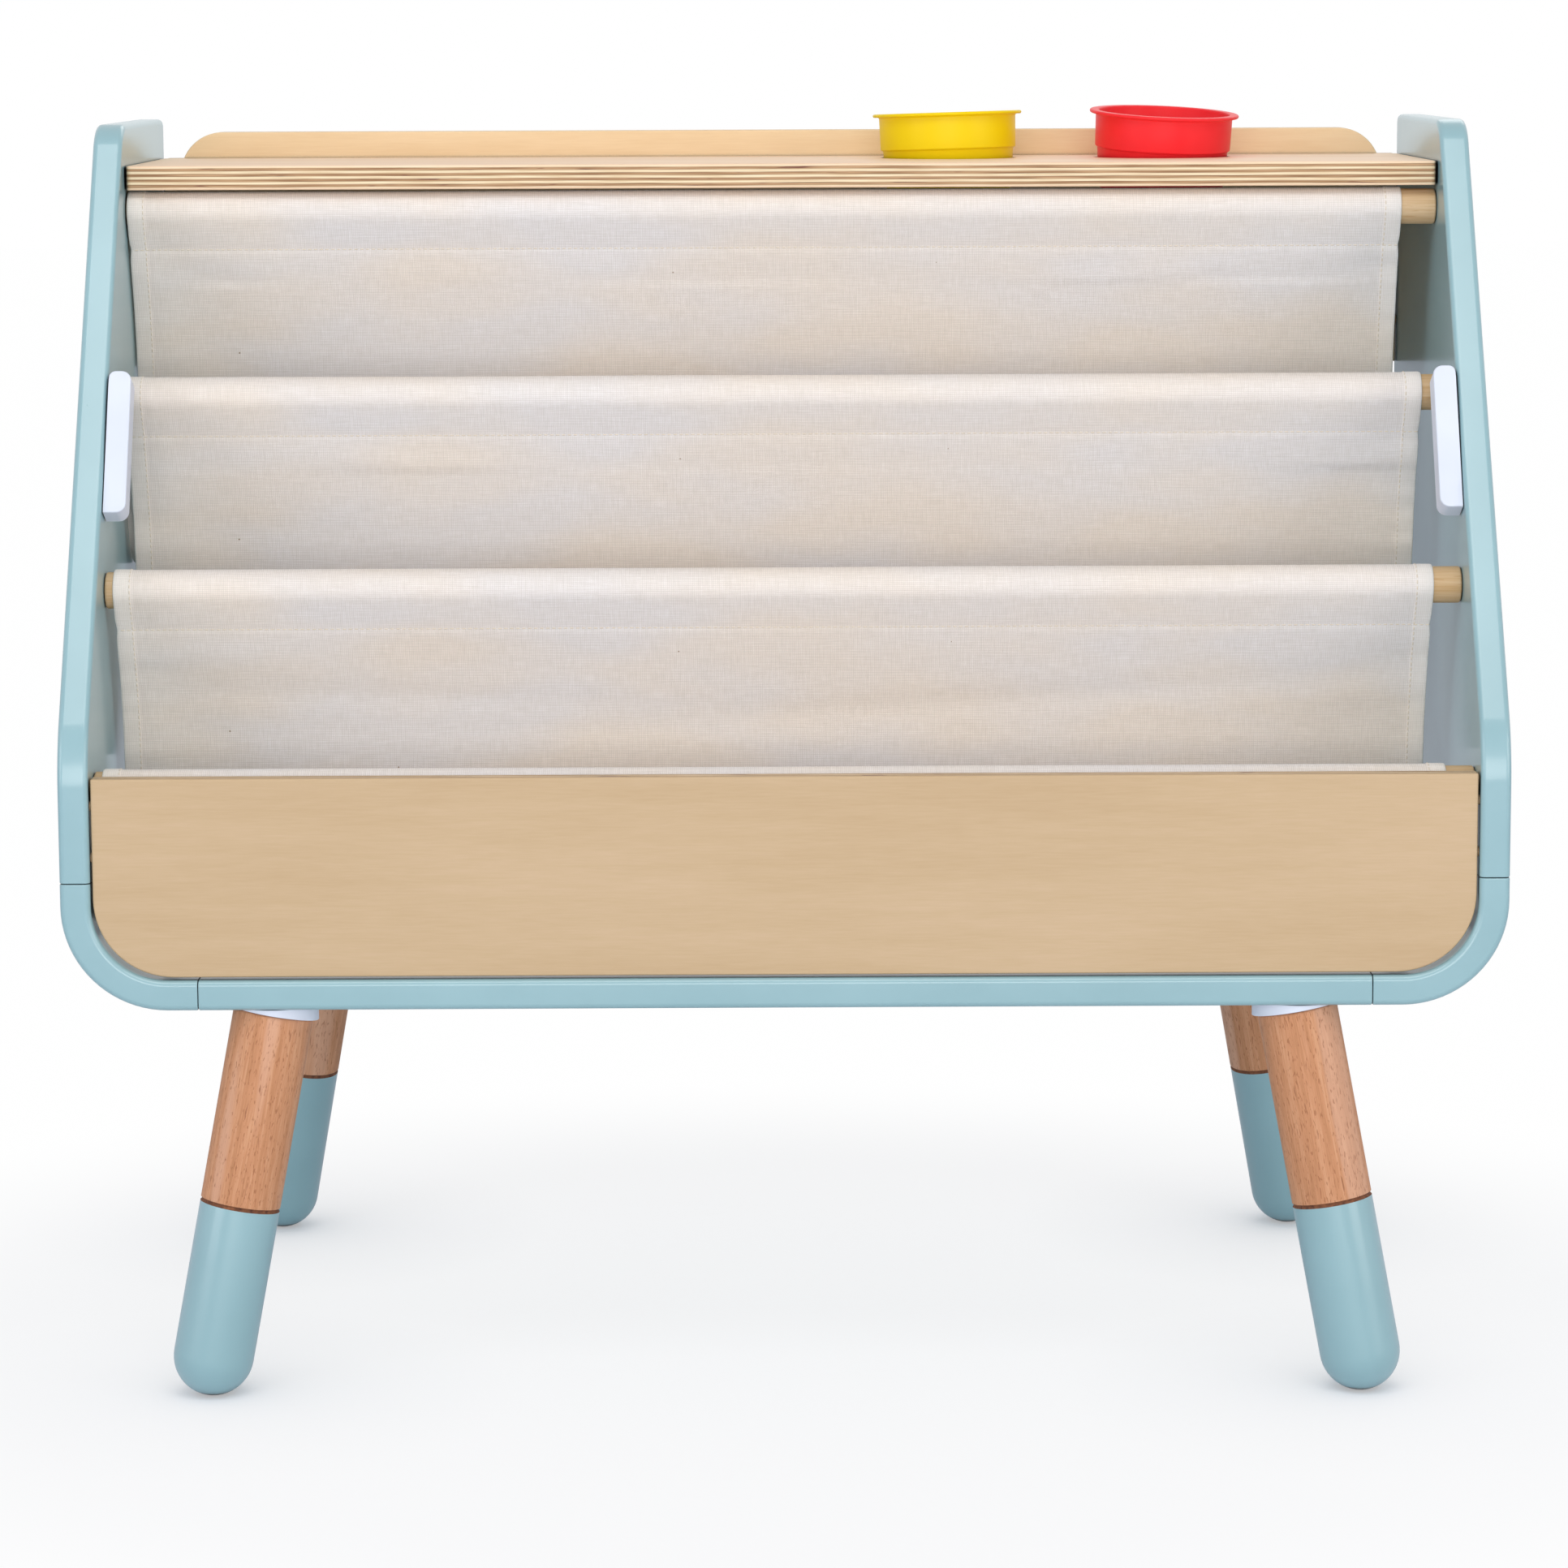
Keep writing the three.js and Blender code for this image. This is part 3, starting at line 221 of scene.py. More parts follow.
def makeCanvas():  # unbleached cotton canvas, plain weave: matt, open pores, slubs, a few dark specks of seed
    look = canvasLook
    material, tree, shader = newMaterial("cottonCanvas")
    cloth = addNode(tree, "UVMap", {"uv_map": "weave"}).outputs["UV"]
    across, down = (addNode(tree, "SeparateXYZ", {"Vector": cloth}).outputs[axis] for axis in ("X", "Y"))
    uneven = addNode(tree, "Mapping", {"Scale": scaleFor(*look["driftSize"]), "Vector": cloth})
    uneven = addNode(tree, "TexNoise", {"Scale": 1, "Detail": 2, "Vector": uneven})
    shift = addNode(tree, "Math", {"operation": "MULTIPLY", 0: uneven, 1: look["drift"]})
    threads = []
    for way in (across, down):
        phase = addNode(tree, "Math", {"operation": "MULTIPLY_ADD", 0: way, 1: math.tau / look["threadPitch"],
                                       2: shift})
        wave = addNode(tree, "Math", {"operation": "SINE", 0: phase})
        threads.append(addNode(tree, "Math", {"operation": "MULTIPLY_ADD", 0: wave, 1: 0.5, 2: 0.5}))
    weave = addNode(tree, "Math", {"operation": "MULTIPLY", 0: threads[0], 1: threads[1]})
    slub = 0
    for size in look["slubSizes"]:
        yarn = addNode(tree, "Mapping", {"Scale": scaleFor(*size), "Vector": cloth})
        yarn = addNode(tree, "TexNoise", {"Scale": 1, "Detail": 3, "Vector": yarn})
        slub = addNode(tree, "Math", {"operation": "MULTIPLY_ADD", 0: yarn, 1: 0.5, 2: slub})
    colour = addNode(tree, "ValToRGB", {"stops": list(zip((0.36, 0.5, 0.64), look["tones"])), "Fac": slub})
    cloudy = addNode(tree, "Mapping", {"Scale": scaleFor(*look["cloudSize"]), "Vector": cloth})
    cloudy = addNode(tree, "TexNoise", {"Scale": 1, "Detail": 2, "Vector": cloudy})
    warmth = addNode(tree, "ValToRGB", {"stops": list(zip((0.38, 0.62), look["clouds"])), "Fac": cloudy})
    colour = addNode(tree, "Mix", {"data_type": "RGBA", "blend_type": "MULTIPLY", 0: 1, 6: colour, 7: warmth})
    pores = addNode(tree, "MapRange", {"From Min": 0, "From Max": look["poreLevel"],
                                       "To Min": look["poreShare"], "To Max": 0, "Value": weave})
    colour = addNode(tree, "Mix", {"data_type": "RGBA", 0: pores, 6: colour, 7: linear(look["pore"])})
    side = addNode(tree, "Math", {"operation": "SUBTRACT", 0: across, 1: look["mapStart"]})
    side = addNode(tree, "Math", {"operation": "ABSOLUTE", 0: side})
    hemStart = sling["width"] / 2 - sling["hem"]
    hem = addNode(tree, "MapRange", {"From Min": hemStart - look["hemBlur"],
                                     "From Max": hemStart + look["hemBlur"],
                                     "To Max": look["hemShare"], "Value": side})
    colour = addNode(tree, "Mix", {"data_type": "RGBA", 0: hem, 6: colour, 7: linear(look["hem"])})
    seeds = addNode(tree, "Mapping", {"Scale": scaleFor(*look["seedSpacing"]), "Vector": cloth})
    seeds = addNode(tree, "TexVoronoi", {"Scale": 1, "Randomness": 1, "Vector": seeds})
    seed = addNode(tree, "Math", {"operation": "LESS_THAN", 0: seeds, 1: look["seedSize"]})
    colour = addNode(tree, "Mix", {"data_type": "RGBA", 0: seed, 6: colour, 7: linear(look["seed"])})
    height = addNode(tree, "Math", {"operation": "MULTIPLY_ADD", 0: weave, 1: 0.6, 2: slub})
    bump = addNode(tree, "Bump", {"Strength": 0.45, "Distance": look["bump"], "Height": height})
    addNode(tree, shader, {"Base Color": colour, "Roughness": 0.9, "Normal": bump, "Specular IOR Level": 0.2,
                           "Sheen Weight": 0.12, "Sheen Roughness": 0.5})
    return material


def makeThread():  # cotton sewing thread: twisted, matt
    material, tree, shader = newMaterial("cottonThread")
    coords = addNode(tree, "TexCoord", {}).outputs["Object"]
    twist = addNode(tree, "TexNoise", {"Scale": scaleFor(0.4)[0], "Vector": coords})
    tone = addNode(tree, "ValToRGB", {"stops": [(0.3, "D2C5B0"), (0.7, "E8DDCB")], "Fac": twist})
    addNode(tree, shader, {"Base Color": tone, "Roughness": 0.85})
    return material


def makePlastic(name, tones, gloss, glow):
    # injection moulded polypropylene: even colour, fine spark-eroded skin
    material, tree, shader = newMaterial(name)
    coords = addNode(tree, "TexCoord", {}).outputs["Object"]
    cloudy = addNode(tree, "TexNoise", {"Scale": scaleFor(40)[0], "Detail": 2, "Vector": coords})
    tone = addNode(tree, "ValToRGB", {"stops": [(0.35, tones[0]), (0.65, tones[1])], "Fac": cloudy})
    grit = addNode(tree, "TexNoise", {"Scale": scaleFor(0.7)[0], "Detail": 1, "Vector": coords})
    bump = addNode(tree, "Bump", {"Strength": 0.2, "Distance": 0.04 * mm, "Height": grit})
    shine = addNode(tree, "MapRange", {"To Min": gloss - 0.05, "To Max": gloss + 0.05, "Value": cloudy})
    addNode(tree, shader, {"Base Color": tone, "Roughness": shine, "Normal": bump, "Specular IOR Level": 0.3})
    if glow:  # a little light passes through the thin wall
        addNode(tree, shader, {"Subsurface Weight": glow, "Subsurface Radius": (0.004, 0.003, 0.002),
                               "Subsurface Scale": 0.5, "Specular IOR Level": 0.2})
    return material


def makeZincSteel():  # bright zinc plating on steel: grey metal with cloudy gloss
    material, tree, shader = newMaterial("zincPlatedSteel")
    coords = addNode(tree, "TexCoord", {}).outputs["Object"]
    cloudy = addNode(tree, "TexNoise", {"Scale": scaleFor(2.5)[0], "Detail": 3, "Vector": coords})
    tone = addNode(tree, "ValToRGB", {"stops": [(0.3, "A9ADB3"), (0.7, "C9CCD0")], "Fac": cloudy})
    gloss = addNode(tree, "MapRange", {"To Min": 0.28, "To Max": 0.42, "Value": cloudy})
    addNode(tree, shader, {"Base Color": tone, "Roughness": gloss, "Metallic": 1})
    return material


def makePinWood():  # compressed beech dowel: end grain and fibres under a millimetre
    material, tree, shader = newMaterial("dowelWood")
    coords = addNode(tree, "TexCoord", {}).outputs["Object"]
    fibres = addNode(tree, "TexNoise", {"Scale": scaleFor(0.8)[0], "Detail": 2, "Vector": coords})
    tone = addNode(tree, "ValToRGB", {"stops": [(0.3, "C6A37B"), (0.7, "DDBE97")], "Fac": fibres})
    addNode(tree, shader, {"Base Color": tone, "Roughness": 0.7})
    return material


sling = {
    "width": 0.791, "cloth": 0.0009, "tunnel": 0.0118, "seamDrop": 0.025, "layer": 0.00098,
    "foldUnder": 0.0075, "hem": 0.0108, "sag": 0.082, "lowestGap": 0.027, "tailBehind": 0.0028,
    "tailBelow": 0.0012, "pullIn": 0.0007, "pullReach": 0.006, "hemExtra": 0.75, "hemStep": 0.0005,
    "rimRound": 0.0012, "rimLeast": 0.12, "columns": 160, "stillRows": 14,
    "rimColumns": (0, 0.0004, 0.0012, 0.0035, 0.006, 0.0085), "hemColumns": (-0.0008, 0, 0.0008, 0.002),
    "rowGaps": {"tunnel": 0.0012, "wall": 0.0027, "belly": 0.0042},
}
stitch = {"pitch": 0.0036, "length": 0.0026, "radius": 0.0003, "sides": 5, "shoulder": 0.62,
          "lift": 0.00005, "inFromHem": 0.0014, "aboveSeam": 0.0015, "firstRow": 7,
          "seamLayers": (-0.75, 1.45)}
beechLook = {
    "tones": ("B5805B", "C28A65", "CE9B77"), "bandSize": (5, 5, 120), "fibreSize": (0.8, 0.8, 16),
    "fibreShare": 0.5, "markBlur": 0.06,
    "marks": (  # size in mm, noise level from which they show, how strongly, colour
        ((26, 26, 380), 0.52, 0.4, "DDB39B"), ((0.9, 0.9, 4.2), 0.62, 0.55, "8D5636"),
        ((1.6, 1.6, 11), 0.7, 0.5, "7E4A30")),
}
birchLook = {
    "tones": ("C7A273", "D0AF86", "DABD97"), "bandSize": (4, 4, 120), "fibreSize": (0.7, 0.7, 20),
    "fibreShare": 0.4, "markBlur": 0.06, "marks": (((1, 1, 12), 0.68, 0.6, "BE9363"),),
}
lacquer = makeLacquer()
beech = makeTurnedWood("oiledBeech", beechLook)
dowelBirch = makeTurnedWood("birchDowel", birchLook)
burnt = makeBurntGroove()
canvas = makeCanvas()
thread = makeThread()
whitePlastic = makePlastic("mouldedWhitePolypropylene", ("D5DCEA", "DAE1EE"), 0.42, 0)
yellowPlastic = makePlastic("mouldedYellowPolypropylene", ("EACD00", "EED204"), 0.4, 0.1)
redPlastic = makePlastic("mouldedRedPolypropylene", ("F12730", "F32F36"), 0.4, 0.1)
zincSteel = makeZincSteel()
pinWood = makePinWood()
print("materials made")


def pick(kind, test):  # in edit mode: selects vertices, edges or faces by their centre or direction
    mesh = bmesh.from_edit_mesh(bpy.context.object.data)
    bpy.ops.mesh.select_mode(type=kind)
    bpy.ops.mesh.select_all(action="DESELECT")
    for part in {"VERT": mesh.verts, "EDGE": mesh.edges, "FACE": mesh.faces}[kind]:
        corners = [part.co] if kind == "VERT" else [corner.co for corner in part.verts]
        part.select_set(bool(test(sum(corners, Vector()) / len(corners), part)))
    mesh.select_flush_mode()
    bmesh.update_edit_mesh(bpy.context.object.data)


def near(value, target):
    return abs(value - target) < 0.01 * mm


def runsAlong(edge, axis):
    return abs((edge.verts[1].co - edge.verts[0].co).normalized()[axis]) > 0.999


def isSharp(edge):
    return edge.calc_face_angle(0) > math.radians(40)


def roundEdges(width, steps, test):
    pick("EDGE", test)
    bpy.ops.mesh.bevel(offset_type="OFFSET", offset=width, segments=steps, profile=0.5, affect="EDGES")


def clearSelection():
    if bpy.context.mode != "OBJECT":
        bpy.ops.object.mode_set(mode="OBJECT")
    bpy.ops.object.select_all(action="DESELECT")


def addBlock(name, low, high):  # a cube at its size and place, left open in edit mode
    clearSelection()
    bpy.ops.mesh.primitive_cube_add(size=1, location=[(a + b) / 2 for a, b in zip(low, high)])
    block = bpy.context.object
    block.name = block.data.name = name
    block.scale = [b - a for a, b in zip(low, high)]
    bpy.ops.object.transform_apply(location=True, rotation=True, scale=True)
    bpy.ops.object.mode_set(mode="EDIT")
    return block


def addTurned(name, profile, steps):  # a profile of (radius, height) spun round Z, left open in edit mode
    clearSelection()
    bpy.ops.mesh.primitive_plane_add(size=2)
    piece = bpy.context.object
    piece.name = piece.data.name = name
    bpy.ops.object.mode_set(mode="EDIT")
    pick("VERT", lambda centre, vert: vert.index > 0)
    bpy.ops.mesh.delete(type="VERT")
    bpy.ops.mesh.select_all(action="SELECT")  # the corner that is left, at (-1, -1, 0)
    bpy.ops.transform.translate(value=(profile[0][0] + 1, 1, profile[0][1]))
    for (radius, height), (nextRadius, nextHeight) in zip(profile, profile[1:]):
        step = (nextRadius - radius, 0, nextHeight - height)
        bpy.ops.mesh.extrude_vertices_move(TRANSFORM_OT_translate={"value": step})
    bpy.ops.mesh.select_all(action="SELECT")
    bpy.ops.mesh.spin(steps=steps, angle=math.tau, center=(0, 0, 0), axis=(0, 0, 1), use_auto_merge=True)
    closeUp()
    return piece


def closeUp():  # merges doubled points and turns every face outwards
    bpy.ops.mesh.select_all(action="SELECT")
    bpy.ops.mesh.remove_doubles(threshold=1e-6)
    bpy.ops.mesh.normals_make_consistent(inside=False)


def arc(centreRadius, centreHeight, radius, start, end, steps):  # points of a profile's rounding, in degrees
    angles = [math.radians(start + (end - start) * step / steps) for step in range(steps + 1)]
    return [(centreRadius + radius * math.cos(a), centreHeight + radius * math.sin(a)) for a in angles]


def combine(piece, tool, operation):  # a Boolean with another piece, which is then thrown away
    bpy.ops.object.mode_set(mode="OBJECT")
    bpy.context.view_layer.objects.active = piece
    cut = piece.modifiers.new("cut", "BOOLEAN")
    cut.object, cut.operation, cut.solver = tool, operation, "EXACT"
    bpy.ops.object.modifier_apply(modifier="cut")
    bpy.data.objects.remove(tool)
    bpy.ops.object.select_all(action="DESELECT")
    piece.select_set(True)
    bpy.ops.object.mode_set(mode="EDIT")


def moveTo(piece, turn, point):  # from the origin to its place, inside its mesh
    piece.data.transform(Matrix.Translation(point) @ turn)
    piece.data.update()


def finishPiece(piece, materials, replaced, rideOn="root", smooth=32, flatten=True):
    clearSelection()
    piece.select_set(True)
    bpy.context.view_layer.objects.active = piece
    bpy.ops.object.shade_smooth_by_angle(angle=math.radians(smooth))
    if flatten:  # keeps big faces flat beside their rounded edges
        piece.modifiers.new("flat faces", "WEIGHTED_NORMAL").keep_sharp = True
        bpy.ops.object.modifier_apply(modifier="flat faces")
    for material in materials:
        piece.data.materials.append(material)
    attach(piece, rideOn)
    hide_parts(*replaced)
    return piece


body = {
    "halfWidth": 0.425, "halfDepth": 0.203, "bottom": 0.2325, "top": 0.7465,
    "board": 0.018, "edge": 0.0035, "seamEdge": 0.0007, "seamGap": 0.0003,
    "cornerWidth": 0.08, "cornerHeight": 0.076, "cornerRadius": 0.062,
    "bend": 0.385, "bendRadius": 0.075, "slant": math.radians(30.3), "topFront": 0.025, "topBack": 0.006,
}
innerHalf = body["halfWidth"] - body["board"]
baseTop = body["bottom"] + body["board"]
seam = body["bottom"] + body["cornerHeight"]
seamX = body["halfWidth"] - body["cornerWidth"]


def slantY(height):
    return -body["halfDepth"] + (height - body["bend"]) * math.tan(body["slant"])


def makeSidePanel(side, word):
    low = seam + body["seamGap"] / 2
    x = sorted((side * innerHalf, side * body["halfWidth"]))
    panel = addBlock("painted_side_" + word, (x[0], -body["halfDepth"], low),
                     (x[1], body["halfDepth"], body["top"]))
    bpy.ops.mesh.select_all(action="SELECT")
    bpy.ops.mesh.bisect(plane_co=(0, -body["halfDepth"], body["bend"]),
                        plane_no=(0, -math.cos(body["slant"]), math.sin(body["slant"])),
                        use_fill=True, clear_outer=True)
    bends = [
        (body["bend"], -body["halfDepth"], body["slant"], body["bendRadius"], 12),
        (body["top"], slantY(body["top"]), math.pi / 2 - body["slant"], body["topFront"], 12),
        (body["top"], body["halfDepth"], math.pi / 2, body["topBack"], 6),
    ]
    for z, y, turn, radius, steps in bends:
        roundEdges(radius * math.tan(turn / 2), steps,
                   lambda centre, edge: runsAlong(edge, 0) and near(centre.y, y) and near(centre.z, z))
    roundEdges(body["edge"], 5, lambda centre, edge: isSharp(edge) and not near(centre.z, low))
    roundEdges(body["seamEdge"], 2, lambda centre, edge: isSharp(edge) and near(centre.z, low))
    finishPiece(panel, [lacquer], ["side_panel_" + word])


def makeCornerBoard(side, word):  # a straight piece spun round the bend and drawn out to the base board
    top = seam - body["seamGap"] / 2
    bendZ = body["bottom"] + body["cornerRadius"]
    x = sorted((side * innerHalf, side * body["halfWidth"]))
    corner = addBlock("painted_corner_" + word, (x[0], -body["halfDepth"], bendZ),
                      (x[1], body["halfDepth"], top))
    roundEdges(body["edge"], 5, lambda centre, edge: runsAlong(edge, 2))
    pick("FACE", lambda centre, face: face.normal.z < -0.9)
    bpy.ops.mesh.spin(steps=20, angle=math.pi / 2, axis=(0, -side, 0),
                      center=(side * (body["halfWidth"] - body["cornerRadius"]), 0, bendZ))
    endX = seamX + body["seamGap"] / 2
    length = body["halfWidth"] - body["cornerRadius"] - endX
    bpy.ops.mesh.extrude_region_move(TRANSFORM_OT_translate={"value": (-side * length, 0, 0)})
    closeUp()
    roundEdges(body["seamEdge"], 2, lambda centre, edge: isSharp(edge) and (
        near(centre.z, top) or near(abs(centre.x), endX)))
    finishPiece(corner, [lacquer], ["corner_" + word])


def makeBaseBoard():
    half = seamX - body["seamGap"] / 2
    board = addBlock("painted_base", (-half, -body["halfDepth"], body["bottom"]),
                     (half, body["halfDepth"], baseTop))
    roundEdges(body["edge"], 5, lambda centre, edge: runsAlong(edge, 0))
    roundEdges(body["seamEdge"], 2, lambda centre, edge: isSharp(edge) and near(abs(centre.x), half))
    finishPiece(board, [lacquer], ["base_board"])


for side, word in ((-1, "left"), (1, "right")):
    makeSidePanel(side, word)
    makeCornerBoard(side, word)
makeBaseBoard()
print("painted body made")

front = {"halfWidth": 0.406, "y": (-0.2, -0.188), "z": (0.252, 0.37), "lowerCorners": 0.047, "edge": 0.0012,
         "plies": 5, "veneer": ("BDA27E", "C2A885", "C7AD8C")}
shelf = {"halfWidth": 0.4063, "y": (slantY(0.721) + 0.0137, 0.1907), "z": (0.706, 0.721), "corner": 0.004,
         "edge": 0.0013, "plies": 9, "veneer": ("EFCDAA", "F4D5B5", "F8DEC0")}
backBoard = {"halfWidth": 0.4063, "upperHalf": 0.395, "y": (0.191, 0.203), "z": (0.584, 0.721, 0.738),
             "upperCorners": 0.028, "shoulder": 0.003, "overlap": 0.02, "edge": 0.0009, "plies": 5,
             "veneer": ("E9CDA3", "EED4AC", "F2DBB5")}
shelfMiddle = sum(shelf["z"]) / 2
cups = {  # place on the shelf, how far each leans in its hole in degrees, plastic
    "yellow": {"place": (0.1085, 0.135), "tilt": (-1.0, -1.6), "plastic": yellowPlastic},
    "red": {"place": (0.246, 0.135), "tilt": (3.9, 2.5), "plastic": redPlastic},
}
cupHole = 0.043


def makeFrontPanel():
    panel = addBlock("ply_front", (-front["halfWidth"], front["y"][0], front["z"][0]),
                     (front["halfWidth"], front["y"][1], front["z"][1]))
    roundEdges(front["lowerCorners"], 18,
               lambda centre, edge: runsAlong(edge, 1) and near(centre.z, front["z"][0]))
    roundEdges(front["edge"], 4, lambda centre, edge: isSharp(edge))
    ply = makePlywood("birchPlywoodFront", "Y", *front["y"], front)
    finishPiece(panel, [ply], ["front_panel"])


def makeShelf():
    board = addBlock("ply_shelf", (-shelf["halfWidth"], shelf["y"][0], shelf["z"][0]),
                     (shelf["halfWidth"], shelf["y"][1], shelf["z"][1]))
    roundEdges(shelf["corner"], 5, lambda centre, edge: runsAlong(edge, 2))
    for cup in cups.values():  # lines through the holes' middles, so that no face wraps round a hole
        for across in ((1, 0, 0), (0, 1, 0)):
            bpy.ops.mesh.select_all(action="SELECT")
            bpy.ops.mesh.bisect(plane_co=(*cup["place"], 0), plane_no=across)
    for cup in cups.values():
        clearSelection()
        bpy.ops.mesh.primitive_cylinder_add(vertices=96, radius=cupHole,
                                            depth=2 * (shelf["z"][1] - shelf["z"][0]),
                                            location=(*cup["place"], shelfMiddle))
        combine(board, bpy.context.object, "DIFFERENCE")
    closeUp()
    roundEdges(shelf["edge"], 3, lambda centre, edge: isSharp(edge))
    ply = makePlywood("birchPlywoodShelf", "Z", *shelf["z"], shelf)
    finishPiece(board, [ply], ["top_shelf"])


def makeBackBoard():
    low, shoulderZ, high = backBoard["z"]
    nearY, farY = backBoard["y"]
    board = addBlock("ply_back", (-backBoard["halfWidth"], nearY, low),
                     (backBoard["halfWidth"], farY, shoulderZ))
    roundEdges(backBoard["shoulder"], 4,
               lambda centre, edge: runsAlong(edge, 1) and near(centre.z, shoulderZ))
    upper = addBlock("upper part", (-backBoard["upperHalf"], nearY, shoulderZ - backBoard["overlap"]),
                     (backBoard["upperHalf"], farY, high))
    roundEdges(backBoard["upperCorners"], 16,
               lambda centre, edge: runsAlong(edge, 1) and near(centre.z, high))
    combine(board, upper, "UNION")
    closeUp()
    bpy.ops.mesh.dissolve_limited(angle_limit=math.radians(0.5))
    roundEdges(backBoard["edge"], 3, lambda centre, edge: isSharp(edge) and (
        near(centre.y, nearY) or near(centre.y, farY)))
    ply = makePlywood("birchPlywoodBack", "Y", nearY, farY, backBoard)
    finishPiece(board, [ply], ["back_board"])


makeFrontPanel()
makeShelf()
makeBackBoard()
print("plywood pieces made")


def keepGrain(piece, offset):  # the wood's own upright coordinates, before the piece is leaned or laid down
    grain = piece.data.attributes.new("grain", "FLOAT_VECTOR", "POINT")
    for vertex, place in zip(piece.data.vertices, grain.data):
        place.vector = vertex.co + Vector(offset)


rail = {"radius": 0.011, "edge": 0.0015, "shoulder": 0.4067, "tenon": 0.006, "tenonLength": 0.009,
        "tenonEdge": 0.001, "steps": 48, "below": 0.0135, "frontBelow": 0.0105, "behindFront": 0.0146}
railTopZ = shelf["z"][0] - rail["below"]
railPitch = (railTopZ - (front["z"][1] - rail["frontBelow"])) / 3
railPlaces = [(front["y"][1] + rail["behindFront"] + (3 - index) * railPitch * math.tan(body["slant"]),
               railTopZ - index * railPitch) for index in range(4)]


def makeRail(word, place, offset):
    radius, edge, shoulder = rail["radius"], rail["edge"], rail["shoulder"]
    tenon, chamfer, tip = rail["tenon"], rail["tenonEdge"], shoulder + rail["tenonLength"]
    half = arc(radius - edge, shoulder - edge, edge, 0, 90, 4)
    half += [(tenon, shoulder), (tenon, tip - chamfer), (tenon - chamfer, tip), (0, tip)]
    profile = [(r, -z) for r, z in reversed(half)] + half
    piece = addTurned("dowel_" + word, profile, rail["steps"])
    bpy.ops.object.mode_set(mode="OBJECT")
    keepGrain(piece, offset)
    moveTo(piece, Matrix.Rotation(math.pi / 2, 4, "Y"), (0, *place))
    finishPiece(piece, [dowelBirch], ["rail_" + word], flatten=False)


for index, word in enumerate(("top", "upper", "lower", "front")):
    makeRail(word, railPlaces[index], (0.07 * index, 0.03, 0.4 * index))

leg = {
    "radius": 0.02375, "insetX": 0.1225, "insetY": 0.028, "splaySide": math.radians(10.3),
    "splayFore": math.radians(5.9), "groove": 0.113, "grooveWidth": 0.0024, "grooveDepth": 0.0008,
    "grooveShape": ((-1, 0), (-0.5, 0.7), (0, 1), (0.5, 0.7), (1, 0)),  # along it, and how deep
    "topEdge": 0.0015, "footFlat": 0.0005, "steps": 64,
}
mount = {"radius": 0.0255, "lip": 0.0012, "edge": 0.0004, "height": 0.02}


def makeLeg(side, end, word, offset):  # turned upright, then leaned and cut level under the base board
    axis = Vector((-side * math.tan(leg["splaySide"]), -end * math.tan(leg["splayFore"]), 1)).normalized()
    tilt = math.acos(axis.z)
    turn = Vector((0, 0, 1)).rotation_difference(axis).to_matrix().to_4x4()
    stand = Vector((side * (body["halfWidth"] - leg["insetX"]), end * (body["halfDepth"] - leg["insetY"]),
                    body["bottom"]))
    underMount = -(mount["radius"] * math.sin(tilt) + mount["lip"] * math.cos(tilt))
    legTop = underMount - body["seamGap"]
    radius = leg["radius"]
    centre = -(body["bottom"] - radius + leg["footFlat"]) / math.cos(tilt)
    groove = (leg["groove"] - body["bottom"]) / math.cos(tilt)
    halfGroove, depth = leg["grooveWidth"] / 2, leg["grooveDepth"]
    profile = arc(0, centre, radius, -90, 0, 14)
    profile[0] = (0, profile[0][1])
    for along, sunk in leg["grooveShape"]:
        profile.append((radius - sunk * depth, groove + along * halfGroove))
    profile += arc(radius - leg["topEdge"], legTop - leg["topEdge"], leg["topEdge"], 0, 90, 4) + [(0, legTop)]
    piece = addTurned("turned_leg_" + word, profile, leg["steps"])
    bpy.ops.object.mode_set(mode="OBJECT")
    for polygon in piece.data.polygons:  # bare wood above the burnt line, paint below it
        height = polygon.center.z - groove
        polygon.material_index = 1 if abs(height) < halfGroove * 0.99 else 2 if height < 0 else 0
    keepGrain(piece, offset)
    moveTo(piece, turn, stand)
    bpy.ops.object.mode_set(mode="EDIT")
    bpy.ops.mesh.select_all(action="SELECT")
    bpy.ops.mesh.bisect(plane_co=(0, 0, 0), plane_no=(0, 0, -1), use_fill=True, clear_outer=True)
    finishPiece(piece, [beech, burnt, lacquer], ["leg_" + word], flatten=False)
    makeMount(word, stand, axis, underMount)


def makeMount(word, stand, axis, underMount):  # a disc cut to the leg's lean
    clearSelection()
    drop = Vector((0, 0, mount["height"] / 2 + body["seamGap"]))
    bpy.ops.mesh.primitive_cylinder_add(vertices=72, radius=mount["radius"], depth=mount["height"],
                                        location=stand - drop)
    wedge = bpy.context.object
    wedge.name = wedge.data.name = "moulded_mount_" + word
    bpy.ops.object.transform_apply(location=True)
    bpy.ops.object.mode_set(mode="EDIT")
    bpy.ops.mesh.select_all(action="SELECT")
    bpy.ops.mesh.bisect(plane_co=stand + axis * underMount, plane_no=-axis, use_fill=True, clear_outer=True)
    roundEdges(mount["edge"], 3, lambda centre, edge: isSharp(edge))
    finishPiece(wedge, [whitePlastic], ["leg_mount_" + word])


legPlaces = ((-1, -1, "front_left"), (1, -1, "front_right"), (-1, 1, "back_left"), (1, 1, "back_right"))
for index, (side, end, word) in enumerate(legPlaces):
    makeLeg(side, end, word, (0.11 * index, 0.23 * index, 0.31 * index))

